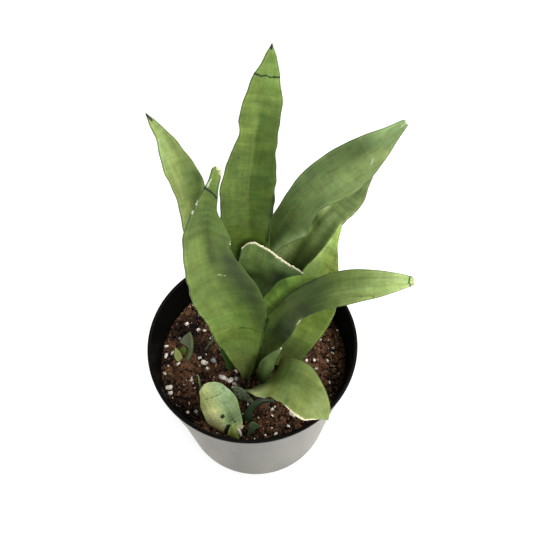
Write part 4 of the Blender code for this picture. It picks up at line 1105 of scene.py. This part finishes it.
        spot = np.stack(list(masks.values()), axis=-1)
        form = np.stack([side - np.abs(reach), t + 0 * y, tone_and_painted_light], axis=-1)
        return inner, outer, place, spot, form


def add_layer(mesh, name, values):
    """Stores one number or three at each point of a mesh."""
    values = np.asarray(values, np.float32)
    kind, key = ("FLOAT", "value") if values.ndim == 1 else ("FLOAT_VECTOR", "vector")
    layer = mesh.attributes.new(name, kind, "POINT")
    layer.data.foreach_set(key, values.ravel())


def closed_blade(name, blade):
    """One closed skin: the inner and outer grids share their points along both margins and the tip."""
    inner, outer, place, spot, form = blade.grids()
    rows, columns = inner.shape[:2]
    front = np.arange(rows * columns).reshape(rows, columns)
    shared = np.zeros((rows, columns), bool)
    shared[:, 0] = shared[:, -1] = shared[-1] = True
    back = front.copy()
    back[~shared] = rows * columns + np.arange((~shared).sum())
    low, high = slice(None, -1), slice(1, None)
    corners = ((low, low), (low, high), (high, high), (high, low))
    sheets = [np.stack([grid[corner] for corner in order], axis=-1).reshape(-1, 4)
              for grid, order in ((front, corners), (back, corners[::-1]))]
    foot = np.stack([front[0, 1:], front[0, :-1], back[0, :-1], back[0, 1:]], axis=-1)
    outside = place + np.array([0.0, 0.0, 1.0])

    def both(inner_values, outer_values):
        return np.concatenate([inner_values.reshape(-1, 3), outer_values[~shared]])

    mesh = bpy.data.meshes.new(name)
    faces = [list(dict.fromkeys(quad)) for quad in np.concatenate([*sheets, foot]).tolist()]
    mesh.from_pydata((both(inner, outer) * MM).tolist(), [], faces)
    add_layer(mesh, "place", both(place, outside))
    add_layer(mesh, "spot", both(spot, spot))
    add_layer(mesh, "form", both(form, form))
    mesh.shade_smooth()
    return mesh


def inner_wall():
    """The pot's inner wall from the floor up to the lip, as (radius, height, fillet) in mm."""
    step_z = POT_HEIGHT - COLLAR_HEIGHT
    return [
        (BASE_RADIUS - WALL - FLOOR_CHAMFER, FLOOR, 0.5),
        (BASE_RADIUS - WALL, FLOOR + FLOOR_CHAMFER, 0.5),
        (BODY_TOP_RADIUS - WALL, step_z - 1.2, 0.5),
        (COLLAR_FOOT_RADIUS - WALL, step_z + 1.0, 0.5),
        (COLLAR_TOP_RADIUS - WALL - 0.3, POT_HEIGHT - LIP_HEIGHT - 0.6, 0.6),
    ]


def inner_radius(z):
    radii, heights, _ = zip(*inner_wall())
    return float(np.interp(z, heights, radii))


def outer_wall():
    """The pot's outer wall from under the lip down to the base, as (radius, height, fillet) in mm."""
    step_z = POT_HEIGHT - COLLAR_HEIGHT
    return [
        (COLLAR_TOP_RADIUS, POT_HEIGHT - LIP_HEIGHT, 0.3),
        (COLLAR_FOOT_RADIUS + 0.3, step_z + 1.6, 0.4),
        (COLLAR_FOOT_RADIUS, step_z, 0.3),
        (BODY_TOP_RADIUS - STEP_GROOVE, step_z - 0.5, 0.2),
        (BODY_TOP_RADIUS - 0.1, step_z - 1.7, 0.4),
        (BASE_RADIUS, BASE_ROUND + 0.6, 0.5),
    ]


def softened(corners, steps=5):
    """A profile of (radius, height, fillet) corners with each corner turned into a short curve."""
    points = []
    for k, (radius, height, fillet) in enumerate(corners):
        here = np.array([radius, height])
        if fillet == 0 or k in (0, len(corners) - 1):
            points.append(tuple(here))
            continue
        ends = []
        for neighbour in (corners[k - 1], corners[k + 1]):
            way = np.array(neighbour[:2]) - here
            reach = np.linalg.norm(way)
            ends.append(here + way / reach * min(fillet, reach / 2))
        first, last = ends
        for s in np.linspace(0, 1, steps):
            points.append(tuple((1 - s) ** 2 * first + 2 * s * (1 - s) * here + s * s * last))
    return points


def pot_profile():
    """The wall's section from the inner floor's middle round to the underside's middle, in mm."""
    lip = [
        (LIP_RADIUS - LIP_WALL, POT_HEIGHT - 0.2, 0.8),
        (LIP_RADIUS - LIP_WALL / 2, POT_HEIGHT + 0.05, 0.5),
        (LIP_RADIUS, POT_HEIGHT - 0.15, 0.8),
        (LIP_RADIUS, POT_HEIGHT - LIP_HEIGHT + 0.2, 0.5),
        (COLLAR_TOP_RADIUS + 0.2, POT_HEIGHT - LIP_HEIGHT - 0.1, 0.2),
    ]
    underside = [
        (BASE_RADIUS - 0.2, 1.4, 0.8),
        (BASE_RADIUS - BASE_ROUND, 0.0, 1.0),
        (FOOT_RING_INNER, 0.0, 0.4),
        (FOOT_RING_INNER - 1.0, FOOT_RECESS, 0.4),
        (FOOT_DISC + 1.0, FOOT_RECESS, 0.4),
        (FOOT_DISC, 0.0, 0.4),
        (0.0, 0.0, 0),
    ]
    return softened([(0.0, FLOOR, 0)] + inner_wall() + lip + outer_wall() + underside)


def soil_height(x, y):
    """Height of the soil's surface and its relief, from 0 in the hollows to 1 on the crumbs."""
    rim = inner_radius(SOIL_EDGE_Z)
    bed = SOIL_EDGE_Z + SOIL_MOUND * (1 - (x * x + y * y) / rim**2)
    broad = lumps(x, y, 15, 1) + 0.6 * lumps(x, y, 7, 2)
    clods = pebbles(x, y, 4.6, 3) * soft_step(lumps(x, y, 9, 4), 0.25, 0.7)
    crumbs = pebbles(x, y, 2.1, 5)
    grit = pebbles(x, y, 1.05, 6)
    relief = 0.46 * clods + 0.34 * crumbs + 0.2 * grit
    edge = soft_step(rim - np.hypot(x, y), 0, 3)
    return bed + edge * (1.9 * (broad - 0.8)), relief, edge


def soil_surface(x, y, settings):
    height, relief, edge = soil_height(x, y)
    return height + (relief - 0.3) * settings.relief / MM * 1.7 * (0.3 + 0.7 * edge), relief


def geometry(tree, kind, inputs=None, **settings):
    """The first output of a new geometry node."""
    return node(tree, "GeometryNode" + kind, inputs, **settings).outputs[0]


def turned_tree():
    """A profile turned round +Z into a closed wall, with a ring of drain holes through its floor."""
    tree, given, result = new_tree(
        "turned_wall", "GeometryNodeTree",
        [("Profile", "Geometry"), ("Steps", "Int"), ("Lip Ripple", "Float"), ("Height", "Float"),
         ("Holes", "Int"), ("Hole Radius", "Float"), ("Hole Ring", "Float"), ("Material", "Material")],
        [("Geometry", "Geometry")])
    count = geometry(tree, "AttributeDomainSize", {0: given["Profile"]}, component="MESH")
    turns = calc(tree, "ADD", given["Steps"], 1.0)
    grid = geometry(tree, "MeshGrid", {"Vertices X": count, "Vertices Y": turns})
    index = geometry(tree, "InputIndex")
    ring = calc(tree, "FLOOR", calc(tree, "DIVIDE", calc(tree, "ADD", index, 0.5), turns))
    column = calc(tree, "SUBTRACT", index, times(tree, ring, turns))
    point = geometry(tree, "SampleIndex", {
        "Geometry": given["Profile"], "Value": geometry(tree, "InputPosition"), "Index": ring},
        data_type="FLOAT_VECTOR", domain="POINT")
    angle = times(tree, calc(tree, "DIVIDE", column, given["Steps"]), TURN)
    radius, _, z = split(tree, point)
    share = calc(tree, "POWER", calc(tree, "DIVIDE", z, given["Height"]), 3.0)
    wave = calc(tree, "SINE", calc(tree, "MULTIPLY_ADD", angle, 3.0, 0.7))
    radius = calc(tree, "ADD", radius, times(tree, times(tree, wave, given["Lip Ripple"]), share))
    turned = joined(tree, times(tree, radius, calc(tree, "COSINE", angle)),
                    times(tree, radius, calc(tree, "SINE", angle)), z)
    wall = geometry(tree, "SetPosition", {"Geometry": grid, "Position": turned})
    wall = geometry(tree, "MergeByDistance", {"Geometry": wall, "Distance": MERGE_GAP * MM})
    circle = geometry(tree, "MeshCircle", {"Vertices": given["Holes"], "Radius": given["Hole Ring"]})
    half_step = calc(tree, "DIVIDE", math.pi, given["Holes"])
    circle = geometry(tree, "Transform", {"Geometry": circle, "Rotation": joined(tree, 0.0, 0.0, half_step)})
    drill = geometry(tree, "MeshCylinder", {
        "Vertices": DRILL_SIDES, "Radius": given["Hole Radius"], "Depth": DRILL_DEPTH * MM})
    drills = geometry(tree, "InstanceOnPoints", {"Points": circle, "Instance": drill})
    drills = geometry(tree, "RealizeInstances", {0: drills})
    drilled = geometry(tree, "MeshBoolean", {"Mesh 1": wall, "Mesh 2": drills}, operation="DIFFERENCE")
    whole = geometry(tree, "RealizeInstances", {0: drilled})
    whole = geometry(tree, "SetMaterial", {"Geometry": whole, "Material": given["Material"]})
    tree.links.new(whole, result[0])
    return tree


def litter_tree():
    """A small shape on every point, turned at random, roughened and made one mesh."""
    tree, given, result = new_tree(
        "litter", "GeometryNodeTree",
        [("Points", "Geometry"), ("Seed", "Int"), ("Vertices", "Int"), ("Roundness", "Float"),
         ("Stretch", "Vector"), ("Roughen", "Float"), ("Lump Size", "Float"), ("Material", "Material")],
        [("Geometry", "Geometry")])
    sides = {"Vertices " + axis: given["Vertices"] for axis in "XYZ"}
    cube = geometry(tree, "MeshCube", {"Size": (2.0, 2.0, 2.0), **sides})
    position = geometry(tree, "InputPosition")
    ball = vector_calc(tree, "NORMALIZE", position)
    shape = node(tree, "ShaderNodeMix", {0: given["Roundness"], 4: position, 5: ball},
                 data_type="VECTOR").outputs[1]
    shape = vector_calc(tree, "MULTIPLY", shape, given["Stretch"])
    pebble = geometry(tree, "SetPosition", {"Geometry": cube, "Position": shape})
    sizes = geometry(tree, "InputNamedAttribute", {"Name": "size"}, data_type="FLOAT")

    def random_vector(low, high, seed):
        return node(tree, "FunctionNodeRandomValue", {"Min": low, "Max": high, "Seed": seed},
                    data_type="FLOAT_VECTOR").outputs[0]

    vary = random_vector((0.7, 0.7, 0.6), (1.25, 1.15, 1.0), given["Seed"])
    spin = random_vector((0.0, 0.0, 0.0), (TURN, TURN, TURN), calc(tree, "ADD", given["Seed"], 11.0))
    placed = geometry(tree, "InstanceOnPoints", {
        "Points": given["Points"], "Instance": pebble, "Rotation": spin, "Scale": scaled(tree, vary, sizes)})
    whole = geometry(tree, "RealizeInstances", {0: placed})
    lump = node(tree, "ShaderNodeTexNoise", {
        "Vector": position, "Scale": calc(tree, "DIVIDE", 1.0, given["Lump Size"]), "Detail": 2.0})
    push = vector_calc(tree, "SUBTRACT", lump.outputs[1], (0.5, 0.5, 0.5))
    push = scaled(tree, push, given["Roughen"])
    whole = geometry(tree, "SetPosition", {"Geometry": whole, "Offset": push})
    whole = geometry(tree, "SetMaterial", {"Geometry": whole, "Material": given["Material"]})
    tree.links.new(whole, result[0])
    return tree


def run_tree(obj, tree, values):
    """Runs a tree on an object with its named inputs set, and gives the object the plain result."""
    modifier = obj.modifiers.new(tree.name, "NODES")
    modifier.node_group = tree
    for item in tree.interface.items_tree:
        if item.item_type == "SOCKET" and item.in_out == "INPUT" and item.name in values:
            modifier[item.identifier] = values[item.name]
    evaluated = obj.evaluated_get(bpy.context.evaluated_depsgraph_get())
    mesh = bpy.data.meshes.new_from_object(evaluated)
    mesh.name = obj.name
    obj.modifiers.remove(modifier)
    obj.data = mesh


def shared(name, build):
    """A node group by name, built on its first use."""
    return bpy.data.node_groups.get(name) or build()


def new_object(context, name, data, material=None):
    obj = bpy.data.objects.new(name, data)
    context.scene.collection.objects.link(obj)
    if material:
        data.materials.append(material)
    return obj


def settle(obj, slot, *nodes):
    """Makes a finished piece part of the object, in the place of its nodes in the frame."""
    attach(obj, "root")
    if nodes:
        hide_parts(*nodes)


class PLANT_OT_pot(bpy.types.Operator):
    """Turn the pot's thin wall from its profile and drill its drain holes"""
    bl_idname = "plant.pot"
    bl_label = "Make Pot"
    bl_options = {"REGISTER", "UNDO"}

    def execute(self, context):
        settings = context.scene.plant_pot
        profile = bpy.data.meshes.new("pot_profile")
        points = [(radius * MM, 0, z * MM) for radius, z in pot_profile()]
        profile.from_pydata(points, [(k, k + 1) for k in range(len(points) - 1)], [])
        pot = new_object(context, "pot_shell", profile)
        run_tree(pot, shared("turned_wall", turned_tree), {
            "Steps": settings.steps, "Lip Ripple": settings.lip_ripple, "Height": POT_HEIGHT * MM,
            "Holes": DRAIN_HOLES, "Hole Radius": DRAIN_RADIUS * MM, "Hole Ring": DRAIN_RING * MM,
            "Material": pot_material(settings)})
        self.mark_zones(pot.data, settings)
        pot.data.shade_smooth()
        pot.data.set_sharp_from_angle(angle=POT_SHARP_ANGLE)
        settle(pot, "pot_plastic", "pot")
        return {"FINISHED"}

    def mark_zones(self, mesh, settings):
        """Gives the inside and the lip their own finish, and marks the wall that soil has soiled."""
        outside = next(material for material in mesh.materials if material)
        mesh.materials.clear()
        mesh.materials.append(outside)
        mesh.materials.append(lining_material(settings))
        places = np.zeros(len(mesh.vertices) * 3, np.float32)
        mesh.vertices.foreach_get("co", places)
        x, y, z = places.reshape(-1, 3).T / MM
        radii, heights, _ = zip(*reversed(outer_wall()))
        wall = np.interp(z, heights, radii) - WALL / 2
        radius = np.hypot(x, y)
        inside = (radius < wall) & (z > FLOOR / 2) | (z > POT_HEIGHT - LIP_BLACK)
        soiled = soft_step(z, SOIL_EDGE_Z + 22, SOIL_EDGE_Z) * soft_step(z, 0, 10)
        add_layer(mesh, "soiled", np.stack([soiled] * 3, axis=-1))
        for polygon in mesh.polygons:
            polygon.material_index = int(all(inside[k] for k in polygon.vertices))


class PLANT_OT_soil(bpy.types.Operator):
    """Fill the pot with potting mix that has clods, crumbs and grit in its surface"""
    bl_idname = "plant.soil"
    bl_label = "Make Soil"
    bl_options = {"REGISTER", "UNDO"}

    def execute(self, context):
        settings = context.scene.plant_soil
        steps = settings.steps
        rim = inner_radius(SOIL_EDGE_Z) - SOIL_GAP
        s = np.linspace(-1, 1, steps + 1)
        p, q = np.meshgrid(s, s, indexing="ij")
        x = rim * p * np.sqrt(1 - q * q / 2)
        y = rim * q * np.sqrt(1 - p * p / 2)
        z, relief = soil_surface(x, y, settings)
        grid = np.arange((steps + 1) ** 2).reshape(steps + 1, -1)
        faces = np.stack([grid[:-1, :-1], grid[1:, :-1], grid[1:, 1:], grid[:-1, 1:]], axis=-1)
        faces = faces.reshape(-1, 4).tolist()
        points = np.stack([x, y, z], axis=-1).reshape(-1, 3)
        edge = np.concatenate([grid[:-1, 0], grid[-1, :-1], grid[:0:-1, -1], grid[0, :0:-1]])
        rim_points = points[edge]
        relief = relief.ravel()
        ring = edge
        for radius, height, _ in reversed(inner_wall()[:4]):
            shrink = (radius - SOIL_GAP) / rim
            lower = rim_points * [shrink, shrink, 0] + [0, 0, max(height, FLOOR + SOIL_GAP)]
            below = len(points) + np.arange(len(ring))
            points = np.concatenate([points, lower])
            relief = np.concatenate([relief, np.full(len(ring), 0.3)])
            sides = np.stack([ring, below, np.roll(below, -1), np.roll(ring, -1)], axis=-1)
            faces.extend(sides.tolist())
            ring = below
        faces.append(ring[::-1].tolist())
        mesh = bpy.data.meshes.new("soil_bed")
        mesh.from_pydata((points * MM).tolist(), [], faces)
        add_layer(mesh, "relief", np.stack([relief] * 3, axis=-1))
        mesh.shade_smooth()
        mesh.set_sharp_from_angle(angle=SOIL_SHARP_ANGLE)
        soil = new_object(context, "soil_bed", mesh, soil_material(settings))
        settle(soil, "potting_soil", "soil")
        return {"FINISHED"}


def litter_points(context, name, places, sizes, sink=0.0):
    """A mesh of points on the soil, each with the size of what lies there, in mm."""
    places = np.asarray(places, float)
    sizes = np.asarray(sizes, float)
    z = soil_surface(places[:, 0], places[:, 1], context.scene.plant_soil)[0]
    points = np.stack([places[:, 0], places[:, 1], z + sizes * (0.5 - sink)], axis=-1)
    mesh = bpy.data.meshes.new(name)
    mesh.from_pydata((points * MM).tolist(), [], [])
    add_layer(mesh, "size", sizes * 0.5 * MM)
    return new_object(context, name, mesh)


def scattered(count, seed, low, high, power=2.5):
    """Random places over the soil, with many small sizes and few large ones."""
    rng = np.random.default_rng(seed)
    angle = rng.uniform(0, TURN, count)
    radius = (inner_radius(SOIL_EDGE_Z) - 1.5) * np.sqrt(rng.uniform(0, 1, count))
    sizes = low + (high - low) * rng.uniform(0, 1, count) ** power
    return np.stack([radius * np.cos(angle), radius * np.sin(angle)], axis=-1), sizes


class PLANT_OT_litter(bpy.types.Operator):
    """Lay crumbs, white grains, bark chips and fibres on the soil"""
    bl_idname = "plant.litter"
    bl_label = "Make Litter"
    bl_options = {"REGISTER", "UNDO"}

    def execute(self, context):
        settings = context.scene.plant_soil
        brown, dark = Vector(settings.brown), Vector(settings.dark)
        tree = shared("litter", litter_tree)
        grains, grey_grains = np.array(GRAINS), np.array(GREY_GRAINS)
        small, small_sizes = scattered(settings.small_grains, 21, 0.5, 1.5)
        crumb = grain_material("loose_crumb_skin", dark * 1.2, brown * 1.3, 500, 0.95)
        bark = grain_material("bark_chip_skin", brown * 0.6, brown * 2.2, 350, 0.85)
        perlite = Vector(settings.perlite)
        white = grain_material("perlite_skin", perlite * 0.72, perlite, 500, 0.9, takes_painted_shade=False)
        grey = grain_material("grey_grain_skin", (0.13, 0.14, 0.14), (0.36, 0.39, 0.38), 400, 0.85,
                              takes_painted_shade=False)
        fibre = grain_material("fibre_skin", brown * 0.8, brown * 3.0, 300, 0.85)
        kinds = [
            ("loose_crumbs", scattered(settings.crumbs, 22, 0.8, 3.0), crumb,
             dict(Seed=3, Vertices=3, Roundness=0.75, Stretch=(1, 0.9, 0.75), Roughen=0.0008), 0.3),
            ("perlite_lumps", (grains[:, :2], grains[:, 2]), white,
             dict(Seed=4, Vertices=4, Roundness=0.55, Stretch=(1.3, 0.88, 0.75), Roughen=0.0016), 0.1),
            ("grey_lumps", (grey_grains[:, :2], grey_grains[:, 2]), grey,
             dict(Seed=8, Vertices=4, Roundness=0.75, Stretch=(1.15, 0.9, 0.75), Roughen=0.0012), 0.1),
            ("perlite_bits", (small, small_sizes), white,
             dict(Seed=5, Vertices=3, Roundness=0.7, Stretch=(1.1, 0.9, 0.8), Roughen=0.0004), 0.0),
            ("bark_chips", scattered(settings.chips, 23, 1.0, 3.6), bark,
             dict(Seed=6, Vertices=3, Roundness=0.35, Stretch=(1.3, 0.6, 0.3), Roughen=0.0006), 0.2),
            ("peat_fibres", scattered(settings.fibres, 24, 1.5, 5.0), fibre,
             dict(Seed=7, Vertices=3, Roundness=0.4, Stretch=(1.3, 0.07, 0.06), Roughen=0.0009), 0.35),
        ]
        for name, (places, sizes), material, values, sink in kinds:
            litter = litter_points(context, name, places, sizes, sink)
            run_tree(litter, tree, {**values, "Lump Size": LUMP_SIZE * MM, "Material": material})
            litter.data.shade_smooth()
            settle(litter, "potting_soil")
        return {"FINISHED"}


def make_blades(context, names):
    """Makes each named blade over its node in the frame."""
    settings = context.scene.plant_blades
    tissue = shared("blade_tissue", blade_tissue)
    for name in names:
        look = {**PLAIN_LOOK, **LOOKS[name]}
        number = list(LOOKS).index(name)
        mesh = closed_blade(name + "_blade", Blade(BLADES[name], look, settings, 100 + number))
        material = blade_material(name, look, tissue, settings, number + 1)
        settle(new_object(context, name + "_blade", mesh, material), look["slot"], name)


class PLANT_OT_back_crown(bpy.types.Operator):
    """Make the blades of the back crown"""
    bl_idname = "plant.back_crown"
    bl_label = "Make Back Crown"
    bl_options = {"REGISTER", "UNDO"}

    def execute(self, context):
        make_blades(context, ["leaf_tall", "leaf_right_upper", "leaf_right_inner", "leaf_cut_centre"])
        return {"FINISHED"}


class PLANT_OT_front_crown(bpy.types.Operator):
    """Make the blades of the front crown and the scales at its foot"""
    bl_idname = "plant.front_crown"
    bl_label = "Make Front Crown"
    bl_options = {"REGISTER", "UNDO"}

    def execute(self, context):
        make_blades(context, ["leaf_left_front", "leaf_left_back", "leaf_right_back", "leaf_right_long",
                              "leaf_centre_fold", "leaf_front_right", "basal_scale", "dry_scale"])
        return {"FINISHED"}


class PLANT_OT_side_shoots(bpy.types.Operator):
    """Make the three young shoots and the dry curl between them"""
    bl_idname = "plant.side_shoots"
    bl_label = "Make Side Shoots"
    bl_options = {"REGISTER", "UNDO"}

    def execute(self, context):
        make_blades(context, [name for name in BLADES if name.startswith("pup")] + ["dry_curl"])
        return {"FINISHED"}


class PLANT_OT_stage(bpy.types.Operator):
    """Set up the pale floor, the soft lights and the camera"""
    bl_idname = "plant.stage"
    bl_label = "Make Stage"
    bl_options = {"REGISTER", "UNDO"}

    def execute(self, context):
        settings = context.scene.plant_stage
        mesh = bpy.data.meshes.new("floor")
        corners = [(x * FLOOR_REACH, y * FLOOR_REACH, -FLOOR_DROP)
                   for x, y in ((-1, -1), (1, -1), (1, 1), (-1, 1))]
        mesh.from_pydata(corners, [], [(0, 1, 2, 3)])
        new_object(context, "floor", mesh, floor_material(settings))
        self.add_light(context, "key_light", power=settings.key_power, **KEY_LIGHT)
        self.add_light(context, "fill_light", power=settings.fill_power, **FILL_LIGHT)
        self.add_sky(context, settings.sky)
        self.add_camera(context, settings)
        context.scene.view_settings.view_transform = "Standard"
        return {"FINISHED"}

    def add_light(self, context, name, place, size, power):
        light = bpy.data.lights.new(name, "AREA")
        light.shape = "DISK"
        light.size = size
        light.energy = power
        lamp = new_object(context, name, light)
        lamp.location = place
        lamp.rotation_euler = (LIGHT_AIM - Vector(place)).to_track_quat("-Z", "Y").to_euler()

    def add_sky(self, context, strength):
        """Even light from all round, and a plain near-white backdrop for the camera."""
        world = bpy.data.worlds.new("soft_room")
        context.scene.world = world
        world.use_nodes = True
        tree = world.node_tree
        tree.nodes.clear()
        lit = node(tree, "ShaderNodeBackground", {"Color": (1, 1, 1, 1), "Strength": strength})
        seen = node(tree, "ShaderNodeBackground", {"Color": BACKDROP, "Strength": 1.0})
        path = node(tree, "ShaderNodeLightPath")
        either = node(tree, "ShaderNodeMixShader", {0: path.outputs["Is Camera Ray"], 1: lit.outputs[0],
                                                    2: seen.outputs[0]})
        node(tree, "ShaderNodeOutputWorld", {"Surface": either.outputs[0]})

    def add_camera(self, context, settings):
        camera = new_object(context, "camera", bpy.data.cameras.new("camera"))
        camera.data.lens = settings.lens
        camera.data.sensor_width = SENSOR_WIDTH
        camera.data.clip_start = 0.01
        turn = Matrix.Rotation(settings.tilt, 4, "X") @ Matrix.Rotation(settings.roll, 4, "Z")
        camera.matrix_world = Matrix.Translation(settings.place) @ turn
        context.scene.camera = camera


class PLANT_PT_parts(bpy.types.Panel):
    """The plant's sizes and colours, and one button for each group of its pieces"""
    bl_idname = "PLANT_PT_parts"
    bl_label = "Snake Plant"
    bl_space_type = "VIEW_3D"
    bl_region_type = "UI"
    bl_category = "Snake Plant"

    def draw(self, context):
        for title, settings, operators in (
            ("Pot", context.scene.plant_pot, ["plant.pot"]),
            ("Soil", context.scene.plant_soil, ["plant.soil", "plant.litter"]),
            ("Blades", context.scene.plant_blades,
             ["plant.back_crown", "plant.front_crown", "plant.side_shoots"]),
            ("Stage", context.scene.plant_stage, ["plant.stage"]),
        ):
            box = self.layout.box()
            box.label(text=title)
            for name in settings.__annotations__:
                box.prop(settings, name)
            for operator in operators:
                box.operator(operator)


CLASSES = (PotSettings, SoilSettings, BladeSettings, StageSettings, PLANT_OT_pot, PLANT_OT_soil,
           PLANT_OT_litter, PLANT_OT_back_crown, PLANT_OT_front_crown, PLANT_OT_side_shoots,
           PLANT_OT_stage, PLANT_PT_parts)
SETTINGS = {"plant_pot": PotSettings, "plant_soil": SoilSettings, "plant_blades": BladeSettings,
            "plant_stage": StageSettings}


def register():
    for cls in CLASSES:
        bpy.utils.register_class(cls)
    for name, group in SETTINGS.items():
        setattr(bpy.types.Scene, name, PointerProperty(type=group))


def unregister():
    for name in SETTINGS:
        delattr(bpy.types.Scene, name)
    for cls in reversed(CLASSES):
        bpy.utils.unregister_class(cls)


def main():
    register()
    bpy.ops.plant.pot()
    bpy.ops.plant.soil()
    bpy.ops.plant.litter()
    bpy.ops.plant.back_crown()
    bpy.ops.plant.front_crown()
    bpy.ops.plant.side_shoots()
    bpy.ops.plant.stage()
    bpy.context.view_layer.update()


if __name__ == "__main__":
    main()
